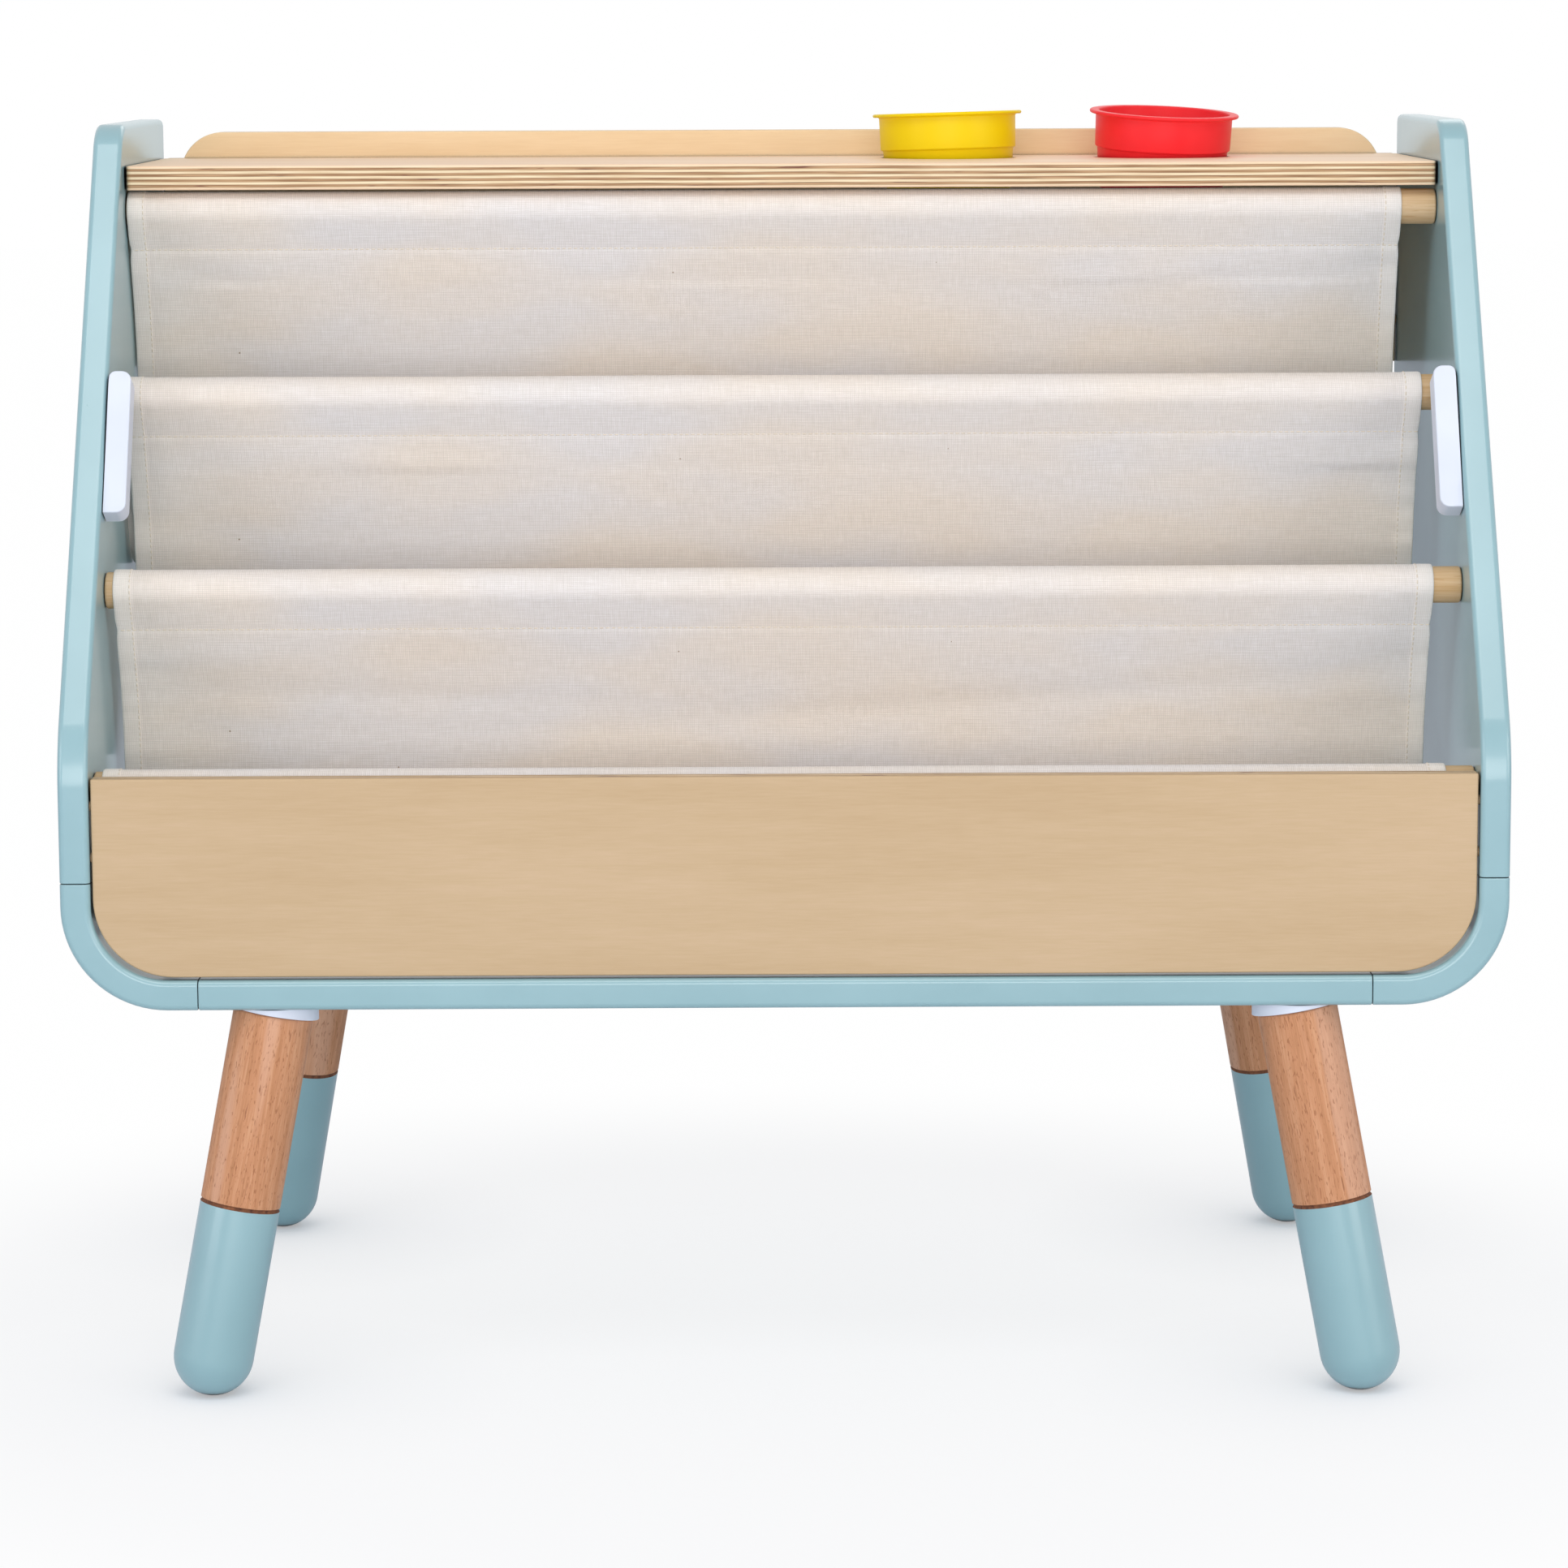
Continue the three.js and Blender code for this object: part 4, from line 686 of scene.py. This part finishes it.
cupShape = {
    "rim": 0.048, "rimRoll": 0.0011, "body": 0.0435, "draft": 0.0005, "spigot": 0.042, "bottom": 0.0402,
    "height": 0.05, "spigotHeight": 0.026, "step": 0.001, "wall": 0.002, "below": 0.0135, "steps": 96,
    "footEdge": 0.0012, "mouthEdge": 0.0012, "stepEdge": 0.0004, "underRim": 0.001, "innerFoot": 0.002,
}


def cupProfile():  # up the outside, over the rolled rim and down the inside
    c = cupShape
    topRadius, start = c["body"] + c["draft"], c["spigotHeight"] + c["step"]
    roll, wall = c["rimRoll"], c["wall"]
    foot, mouth, bend, under, inner = (
        c[name] for name in ("footEdge", "mouthEdge", "stepEdge", "underRim", "innerFoot"))
    outside = [(0, 0)] + arc(c["bottom"] - foot, foot, foot, -90, 0, 4)
    outside += [(c["spigot"], c["spigotHeight"] - 0.3 * mm), (c["spigot"] + 0.2 * mm, c["spigotHeight"])]
    outside += arc(c["body"] - bend, start + bend / 2, bend, -60, 0, 3)
    outside += [(topRadius, c["height"] - 2 * roll - mouth)]
    outside += arc(topRadius + under, c["height"] - 2 * roll - under, under, 180, 90, 3)
    outside += arc(c["rim"] - roll, c["height"] - roll, roll, -80, 90, 8)
    inside = arc(topRadius - wall + mouth, c["height"] - mouth, mouth, 90, 180, 4)
    inside += [(c["body"] - wall, start), (c["spigot"] - wall, c["spigotHeight"] - c["step"])]
    inside += arc(c["bottom"] - wall - inner, wall + inner, inner, 0, -90, 4) + [(0, wall)]
    return outside + inside


for word, cup in cups.items():
    piece = addTurned("moulded_cup_" + word, cupProfile(), cupShape["steps"])
    bpy.ops.object.mode_set(mode="OBJECT")
    forward, sideways = (math.radians(angle) for angle in cup["tilt"])
    turn = Matrix.Rotation(forward, 4, "X") @ Matrix.Rotation(sideways, 4, "Y")
    seat = Vector((*cup["place"], shelfMiddle))
    moveTo(piece, turn, seat - turn @ Vector((0, 0, cupShape["below"])))
    finishPiece(piece, [cup["plastic"]], [word + "_cup"], rideOn=word + "_cup", smooth=50,
                flatten=False)
print("turned and moulded pieces made")

grip = {"width": 0.0135, "depth": 0.017, "length": 0.091, "innerRadius": 0.006, "outerRadius": 0.004,
        "edge": 0.0009, "lean": math.radians(26), "middleZ": 0.556, "setback": 0.0095, "gap": 0.0006}


def makeGrip(side, word):
    half = grip["length"] / 2
    x = sorted((0, -side * grip["width"]))
    block = addBlock("moulded_grip_" + word, (x[0], -grip["depth"] / 2, -half),
                     (x[1], grip["depth"] / 2, half))
    roundEdges(grip["innerRadius"], 8, lambda centre, edge: runsAlong(edge, 1) and not near(centre.x, 0))
    roundEdges(grip["outerRadius"], 6,
               lambda centre, edge: runsAlong(edge, 1) and near(centre.x, 0) and near(centre.z, half))
    roundEdges(grip["edge"], 4, lambda centre, edge: isSharp(edge) and not near(centre.x, 0))
    bpy.ops.object.mode_set(mode="OBJECT")
    middleY = slantY(grip["middleZ"]) + grip["setback"] / math.cos(body["slant"])
    moveTo(block, Matrix.Rotation(-grip["lean"], 4, "X"),
           (side * (innerHalf - grip["gap"]), middleY, grip["middleZ"]))
    finishPiece(block, [whitePlastic], ["hand_grip_" + word])


for side, word in ((-1, "left"), (1, "right")):
    makeGrip(side, word)
print("grips made")

# where the wall hangs between its rails: shares of the way back from the upper rail, and of the way down
wallShares = ((0.2, 0.19), (0.35, 0.41), (0.39, 0.65), (0.25, 0.87), (-0.12, 1), (-0.48, 0.92), (-0.66, 0.76))
# folds: share along the width, mm below the seam, half length as a share, half height, lean, depth
slingPlans = {
    "upper": {"rail": 0, "shift": -0.0105, "folds": (
        (0.12, 36, 0.1, 11, 330, -0.9), (0.42, 68, 0.2, 10, 20, -0.6), (0.74, 26, 0.2, 10, -140, 0.9),
        (0.73, 66, 0.17, 9, -100, -0.8))},
    "middle": {"rail": 1, "shift": -0.0055, "folds": (
        (0.47, 52, 0.38, 8, -35, -1.0), (0.2, 14, 0.12, 7, 90, 0.5), (0.93, 28, 0.09, 12, -250, 0.9),
        (0.44, 67, 0.12, 6, -60, 0.5))},
    "lower": {"rail": 2, "shift": -0.006, "folds": (
        (0.2, 42, 0.2, 8, 25, -0.9), (0.68, 46, 0.3, 9, -52, -1.1), (0.05, 14, 0.08, 9, 60, 0.6),
        (0.97, 40, 0.05, 12, 0, 0.7))},
}


def smoothCourse(guide, steps):  # the curve that the solids' walls follow too
    last = len(guide) - 1
    points = []
    for step in range(steps + 1):
        place = last * step / steps
        index = min(int(place), last - 1)
        part = place - index
        a, b, c, d = (guide[min(max(index + offset, 0), last)] for offset in (-1, 0, 1, 2))
        start, end = (c - a) / 2, (d - b) / 2
        cubed, squared = 2 * b - 2 * c + start + end, 3 * c - 3 * b - 2 * start - end
        points.append(cubed * part ** 3 + squared * part ** 2 + start * part + b)
    return points


# the turned-in end under the seam: layers of cloth from the crease, mm above the seam
turnedIn = ((1, -1), (1.25, -1.8), (1.75, -1.8), (2, -1), (2.05, 1.5))
creaseShape = ((-0.15, 1.2), (0, 0))


def tunnelCourse(place, flap):
    # from the end turned in behind the seam, round the rail, to the crease; flap is -1 on the front rail
    y, z = place
    seamZ, layer, radius = z - sling["seamDrop"], sling["layer"] * flap, sling["tunnel"]
    crease = y - 0.6 * layer
    points = [(crease + layer, seamZ + sling["foldUnder"])]
    points += [(crease + layers * layer, seamZ + up * mm) for layers, up in turnedIn]
    spread, steps = math.acos(radius / sling["seamDrop"]), 24
    for step in range(steps + 1):
        angle = -math.pi / 2 + spread + 2 * (math.pi - spread) * step / steps
        points.append((y + flap * radius * math.cos(angle), z + radius * math.sin(angle)))
    points += [(crease + layers * layer, seamZ + up * mm) for layers, up in creaseShape]
    return [Vector(point) for point in points]


def evenCourse(points, spacing):  # the same line with points at even distances
    lengths = [0]
    for a, b in zip(points, points[1:]):
        lengths.append(lengths[-1] + (b - a).length)
    count = max(round(lengths[-1] / spacing), 2)
    even, index = [], 0
    for step in range(count + 1):
        target = lengths[-1] * step / count
        while index < len(points) - 2 and lengths[index + 1] < target:
            index += 1
        share = (target - lengths[index]) / (lengths[index + 1] - lengths[index])
        even.append(points[index].lerp(points[index + 1], min(share, 1)))
    return even


def slingCourse(plan):  # points (y, z) with the name of the stretch that each is on
    backRail, frontRail = (Vector(railPlaces[plan["rail"] + step]) for step in (0, 1))
    last = plan["rail"] == 2
    seamZ = backRail.y - sling["seamDrop"]
    bottom = baseTop + sling["lowestGap"] if last else frontRail.y - sling["seamDrop"] - sling["sag"]
    drop, pitch, gaps = seamZ - bottom, backRail.x - frontRail.x, sling["rowGaps"]
    tunnel = evenCourse(tunnelCourse(backRail, 1), gaps["tunnel"])
    around = list(reversed(evenCourse(tunnelCourse(frontRail, -1), gaps["tunnel"])))
    tail = frontRail + Vector((sling["tailBehind"], -sling["seamDrop"] - sling["tailBelow"]))
    if last:
        tail = around[0]
    guide = [tunnel[-1]]
    guide += [Vector((backRail.x + back * pitch, seamZ - down * drop)) for back, down in wallShares]
    wall = smoothCourse(guide + [tail], 400)
    lowest = min(range(len(wall)), key=lambda index: wall[index].y)
    rows = [(point, "tunnel") for point in tunnel]
    rows += [(point, "wall") for point in evenCourse(wall[:lowest + 1], gaps["wall"])[1:]]
    rows += [(point, "belly") for point in evenCourse(wall[lowest:], gaps["belly"])[1:]]
    if last:
        rows += [(point, "tunnel") for point in around[1:]]
    return rows


ripples = {  # depth in mm, waves per metre across, mm down per wave, what is added to the sling's seed
    "tunnel": (0.3, 7, 60, 0), "tunnelGathers": (1, 50, 40, 3), "belly": (0.6, 5, 60, 0),
    "wall": (0.9, 4.5, 48, 0), "wallGathers": (1, 55, 35, 5), "edge": (0.65, 9, 8, 8),
}
gathers = {"tunnel": {"depth": 0.12, "endDepth": 0.3, "reach": 7},
           "wall": {"depth": 0.12, "endDepth": 0.45, "reach": 13}}
fadeReach = {"end": 45, "edge": 26, "seam": 10, "pull": 4}  # mm


def ripple(kind, x, drop, seed):
    depth, perMetre, fall, extra = ripples[kind]
    return depth * noise.noise(Vector((x * perMetre, drop / fall, seed + extra)))


def fade(distance, reach):
    return math.exp(-(distance / reach) ** 2)


def gathered(stretch, x, drop, seed, nearEnd):  # small puckers along the seam, deeper at the sling's ends
    part = gathers[stretch]
    depth = (part["depth"] + part["endDepth"] * nearEnd) * fade(drop, part["reach"])
    return depth * ripple(stretch + "Gathers", x, drop, seed)


def slingRelief(plan, stretch, x, drop, seed):
    # how far the cloth stands out, in mm: x in metres from the middle, drop in mm below the nearest seam
    along = x / sling["width"] + 0.5
    fromEdge = (0.5 - abs(along - 0.5)) * sling["width"] / mm
    nearEnd = fade(fromEdge, fadeReach["end"])
    if stretch == "tunnel":
        return ripple("tunnel", x, drop, seed) + gathered("tunnel", x, drop, seed, nearEnd)
    if stretch == "belly":
        return ripple("belly", x, drop, seed)
    relief = 0.0
    for place, below, halfLength, halfHeight, lean, depth in plan["folds"]:
        across = (along - place) / halfLength
        down = (drop - below - lean * (along - place)) / halfHeight
        relief += depth * math.exp(-across ** 2 - down ** 2)
    relief = (relief + ripple("wall", x, drop, seed)) * (1 - fade(drop, fadeReach["seam"]))
    relief += gathered("wall", x, drop, seed, nearEnd)
    return relief + fade(fromEdge, fadeReach["edge"]) * ripple("edge", x, drop, seed)


def columnPlaces():  # across the width: close together at the hems, where the cloth is doubled
    half, hem = sling["width"] / 2, sling["hem"]
    edge = [*sling["rimColumns"], *(hem + offset for offset in sling["hemColumns"])]
    inner, count = half - edge[-1], sling["columns"]
    middle = [-inner + 2 * inner * step / count for step in range(1, count)]
    return [place - half for place in edge] + middle + [half - place for place in reversed(edge)]


def makeSling(word, plan, seed):
    # two faces of the cloth along its course, with the relief and the hems' thickness
    rows = slingCourse(plan)
    seams = [railPlaces[plan["rail"] + step][1] - sling["seamDrop"] for step in (0, 1)]
    columns = columnPlaces()
    half, hem = sling["width"] / 2, sling["hem"]
    points = [point for point, stretch in rows]
    lengths = [0]
    for a, b in zip(points, points[1:]):
        lengths.append(lengths[-1] + (b - a).length)
    outer, inner = [], []
    for index, (point, stretch) in enumerate(rows):
        tangent = (points[min(index + 1, len(points) - 1)] - points[max(index - 1, 0)]).normalized()
        out = Vector((tangent.y, -tangent.x))  # outwards on the tunnel, to the front on the wall
        seamZ = seams[1] if index > len(rows) / 2 else seams[0]
        drop = (seamZ - point.y) / mm
        still = 1 if plan["rail"] == 2 else min(1, (len(rows) - 1 - index) / sling["stillRows"])
        pull = sling["pullIn"] * fade(drop + 1, fadeReach["pull"])
        outerRow, innerRow = [], []
        for x in columns:
            push = slingRelief(plan, stretch, x, drop, seed) * still * mm
            fromEdge = half - abs(x)
            doubled = 0.5 + 0.5 * math.tanh((hem - fromEdge) / sling["hemStep"])
            thick = sling["cloth"] * (1 + sling["hemExtra"] * doubled)
            if fromEdge < sling["rimRound"]:
                thick *= math.sqrt(max(sling["rimLeast"], 1 - (1 - fromEdge / sling["rimRound"]) ** 2))
            edgeX = math.copysign(pull * math.exp(-fromEdge / sling["pullReach"]), x)
            for row, sign in ((outerRow, 1), (innerRow, -1)):
                side = point + out * (push + sign * thick / 2)
                row.append(Vector((x - edgeX + plan["shift"], side.x, side.y)))
        outer.append(outerRow)
        inner.append(innerRow)
    cloth = shellMesh("canvas_" + word, outer, inner, columns, lengths)
    stitches = sewStitches("canvas_" + word + "_stitches", rows, outer, inner, columns, plan)
    return cloth, stitches, lengths[-1]


def shellMesh(name, outer, inner, columns, lengths):  # two faces of the cloth joined along its rim
    rowCount, columnCount = len(outer), len(columns)
    size = rowCount * columnCount
    verts = [point for rows in (outer, inner) for row in rows for point in row]
    faces = []
    for row in range(rowCount - 1):
        for column in range(columnCount - 1):
            a = row * columnCount + column
            quad = (a + columnCount, a + columnCount + 1, a + 1, a)
            faces.append(quad)
            faces.append(tuple(size + corner for corner in reversed(quad)))
    rim = list(range(columnCount))
    rim += [row * columnCount + columnCount - 1 for row in range(1, rowCount)]
    rim += [(rowCount - 1) * columnCount + column for column in range(columnCount - 2, -1, -1)]
    rim += [row * columnCount for row in range(rowCount - 2, 0, -1)]
    for a, b in zip(rim, rim[1:] + rim[:1]):
        faces.append((a, b, size + b, size + a))
    mesh = bpy.data.meshes.new(name)
    mesh.from_pydata(verts, [], faces)
    mesh.update()
    weave = mesh.uv_layers.new(name="weave")  # metres across and down the cloth
    for loop, place in zip(mesh.loops, weave.data):
        row, column = divmod(loop.vertex_index % size, columnCount)
        place.uv = (columns[column] + canvasLook["mapStart"], lengths[row])
    piece = bpy.data.objects.new(name, mesh)
    bpy.context.scene.collection.objects.link(piece)
    return piece


def addStitch(verts, faces, middle, along, away):  # one stitch: a short pointed bead lying on the cloth
    across = along.cross(away).normalized()
    half, radius, sides = stitch["length"] / 2, stitch["radius"], stitch["sides"]
    tail = len(verts)
    first, second = tail + 1, tail + 1 + sides  # where its two rings of points start
    verts.append(middle - along * half)
    for share in (-stitch["shoulder"], stitch["shoulder"]):
        for corner in range(sides):
            angle = math.tau * corner / sides
            outwards = away * math.cos(angle) + across * math.sin(angle)
            verts.append(middle + along * (half * share) + outwards * radius)
    verts.append(middle + along * half)
    for corner in range(sides):
        after = (corner + 1) % sides
        faces.append((tail, first + after, first + corner))
        faces.append((first + corner, first + after, second + after, second + corner))
        faces.append((second + sides, second + corner, second + after))


def sewLine(verts, faces, line, ways):  # stitches at an even pitch along a line of points
    travelled, target = 0, stitch["pitch"]
    for index in range(len(line) - 1):
        step = (line[index + 1] - line[index]).length
        while step > 0 and travelled + step >= target:
            middle = line[index].lerp(line[index + 1], (target - travelled) / step)
            along = (line[index + 1] - line[index]).normalized()
            away = (ways[index] - along * ways[index].dot(along)).normalized()
            addStitch(verts, faces, middle + away * stitch["lift"], along, away)
            target += stitch["pitch"]
        travelled += step


def sewStitches(name, rows, outer, inner, columns, plan):  # down both hems and along the tunnels' seams
    verts, faces = [], []
    hemLine = sling["width"] / 2 - sling["hem"] + stitch["inFromHem"]
    for target in (-hemLine, hemLine):
        column = min(range(len(columns)), key=lambda index: abs(columns[index] - target))
        for nearFace, farFace in ((outer, inner), (inner, outer)):
            line = [row[column] for row in nearFace]
            ways = [(a[column] - b[column]).normalized() for a, b in zip(nearFace, farFace)]
            sewLine(verts, faces, line[stitch["firstRow"]:], ways[stitch["firstRow"]:])
    for railIndex in [plan["rail"]] + ([3] if plan["rail"] == 2 else []):
        railY, railZ = railPlaces[railIndex]
        flap = -1 if railIndex == 3 else 1
        seamZ = railZ - sling["seamDrop"] + stitch["aboveSeam"]
        for layers in stitch["seamLayers"]:
            seamY = railY + flap * layers * sling["layer"]
            misses = [abs(point.y - seamZ) + abs(point.x - seamY) for point, stretch in rows]
            row = misses.index(min(misses))
            sewLine(verts, faces, outer[row], [a - b for a, b in zip(outer[row], inner[row])])
    mesh = bpy.data.meshes.new(name)
    mesh.from_pydata(verts, [], faces)
    piece = bpy.data.objects.new(name, mesh)
    bpy.context.scene.collection.objects.link(piece)
    return piece


for index, (word, plan) in enumerate(slingPlans.items()):
    seed = 10 + 17 * index  # other ripples on each sling
    cloth, stitches, length = makeSling(word, plan, seed)
    finishPiece(cloth, [canvas], ["sling_" + word], smooth=180, flatten=False)
    finishPiece(stitches, [thread], [], smooth=180, flatten=False)
    print("sling", word, "cloth length", round(length, 4))

for name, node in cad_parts.items():  # pins, bolts and screws keep their solids
    finish = pinWood if "_pin_" in name else zincSteel if "bolt" in name or "screw" in name else None
    if finish:
        for materialSlot in node.material_slots:
            materialSlot.material = finish

floorLook = {"colour": "EDF0F6", "size": 30, "centre": (0, 0.1, 0), "reach": (0.86, 0.75),
             "fade": (0.55, 0.95), "white": (0.82, 0.995), "contact": (0.5, 0.98), "contactReach": 0.16,
             "contactWhite": 0.4}


def makeFloor():  # pale floor that keeps the soft shadow and fades to white away from the bookshelf
    clearSelection()
    bpy.ops.mesh.primitive_plane_add(size=1)
    floor = bpy.context.object
    floor.name = floor.data.name = "floor"
    floor.data.transform(Matrix.Diagonal((floorLook["size"], floorLook["size"], 1, 1)))
    material, tree, shader = newMaterial("paleStudioFloor")
    output = next(node for node in tree.nodes if node.type == "OUTPUT_MATERIAL")
    addNode(tree, shader, {"Base Color": linear(floorLook["colour"]), "Roughness": 0.9,
                           "Specular IOR Level": 0.1})
    coords = addNode(tree, "TexCoord", {}).outputs["Object"]
    reachX, reachY = floorLook["reach"]
    centred = addNode(tree, "Mapping", {"Location": floorLook["centre"], "Scale": (1 / reachX, 1 / reachY, 1),
                                        "Vector": coords})
    reach = addNode(tree, "VectorMath", {"operation": "LENGTH", 0: centred})
    far = addNode(tree, "MapRange", {"interpolation_type": "SMOOTHSTEP", "From Min": floorLook["fade"][0],
                                     "From Max": floorLook["fade"][1], "Value": reach})
    bright = addNode(tree, "MapRange", {"To Min": floorLook["white"][0], "To Max": floorLook["white"][1],
                                        "Value": far})
    # painted contact shade: where the ambient occlusion finds the floor shut in beside the feet, less white
    # is laid over the lit floor, so its shadow shows darker
    openness = addNode(tree, "AmbientOcclusion", {"samples": 8, "Distance": floorLook["contactReach"]})
    contact = addNode(tree, "MapRange", {"From Min": floorLook["contact"][0],
                                         "From Max": floorLook["contact"][1],
                                         "To Min": floorLook["contactWhite"], "To Max": 1,
                                         "Value": openness.outputs["AO"]})
    bright = addNode(tree, "Math", {"operation": "MULTIPLY", 0: bright, 1: contact})
    seen = addNode(tree, "LightPath", {}).outputs["Is Camera Ray"]
    shown = addNode(tree, "Math", {"operation": "MULTIPLY", 0: bright, 1: seen})
    white = addNode(tree, "Emission", {"Color": (1, 1, 1, 1), "Strength": 1.0})
    addNode(tree, output, {"Surface": addNode(tree, "MixShader", {0: shown, 1: shader, 2: white})})
    floor.data.materials.append(material)


lamps = {  # place, what it points at, size, watts, colour
    "overhead softbox": ((-0.05, -1.35, 2.4), (0, 0, 0.5), (2.0, 0.85), 18, "FFFCF8"),
    "right softbox": ((2.8, -2.1, 0.95), (0, 0, 0.4), (1.6, 1.6), 21, "FFFBF6"),
    "left softbox": ((-2.8, -2.1, 0.95), (0, 0, 0.4), (1.6, 1.6), 19, "FAFBFF"),
    "front softbox": ((0, -3.4, 0.7), (0, 0, 0.42), (2.4, 1.1), 33, "FFFCF9"),
    "back softbox": ((0.7, 2.2, 2.3), (0, 0, 0.4), (1.8, 1.2), 9, "FFFDFB"),
}
skyLight = {"colour": "F6F8FF", "strength": 0.49}


def makeLamps():
    for name, (place, target, size, watts, colour) in lamps.items():
        light = bpy.data.lights.new(name, "AREA")
        light.shape = "RECTANGLE"
        light.size, light.size_y = size
        light.energy = watts
        light.color = linear(colour)[:3]
        lamp = bpy.data.objects.new(name, light)
        lamp.location = place
        lamp.rotation_euler = (Vector(target) - Vector(place)).to_track_quat("-Z", "Y").to_euler()
        bpy.context.scene.collection.objects.link(lamp)


def makeWorld():
    # even light from all round; plain white where the camera or a reflection sees past the bookshelf
    world = bpy.data.worlds.new("studio")
    bpy.context.scene.world = world
    world.use_nodes = True
    tree = world.node_tree
    sky = next(node for node in tree.nodes if node.type == "BACKGROUND")
    output = next(node for node in tree.nodes if node.type == "OUTPUT_WORLD")
    addNode(tree, sky, {"Color": linear(skyLight["colour"]), "Strength": skyLight["strength"]})
    backdrop = addNode(tree, "Background", {"Color": (1, 1, 1, 1), "Strength": 1.0})
    path = addNode(tree, "LightPath", {})
    rays = path.outputs["Is Camera Ray"]
    for kind in ("Is Glossy Ray", "Is Transmission Ray"):
        rays = addNode(tree, "Math", {"operation": "MAXIMUM", 0: rays, 1: path.outputs[kind]})
    addNode(tree, output, {"Surface": addNode(tree, "MixShader", {0: rays, 1: sky, 2: backdrop})})


view = {"place": (-0.0066, -2.879, 0.8), "pitch": 0.12696, "yaw": 0.00247, "roll": -0.00418,
        "lens": 106.55, "sensor": 36, "shift": -0.1, "farthest": 50}


def makeCamera():
    data = bpy.data.cameras.new("camera")
    data.lens, data.sensor_width, data.shift_y = view["lens"], view["sensor"], view["shift"]
    data.clip_end = view["farthest"]
    camera = bpy.data.objects.new("camera", data)
    pitch, yaw, roll = view["pitch"], view["yaw"], view["roll"]
    ahead = Vector((math.sin(yaw) * math.cos(pitch), math.cos(yaw) * math.cos(pitch), -math.sin(pitch)))
    right = Vector((math.cos(yaw), -math.sin(yaw), 0))
    up = right.cross(ahead)
    rolledRight = right * math.cos(roll) + up * math.sin(roll)
    rolledUp = up * math.cos(roll) - right * math.sin(roll)
    camera.matrix_world = Matrix.Translation(view["place"]) @ Matrix(
        (rolledRight, rolledUp, -ahead)).transposed().to_4x4()
    bpy.context.scene.collection.objects.link(camera)
    bpy.context.scene.camera = camera


makeFloor()
makeLamps()
makeWorld()
makeCamera()
bpy.context.scene.view_settings.view_transform = "Standard"
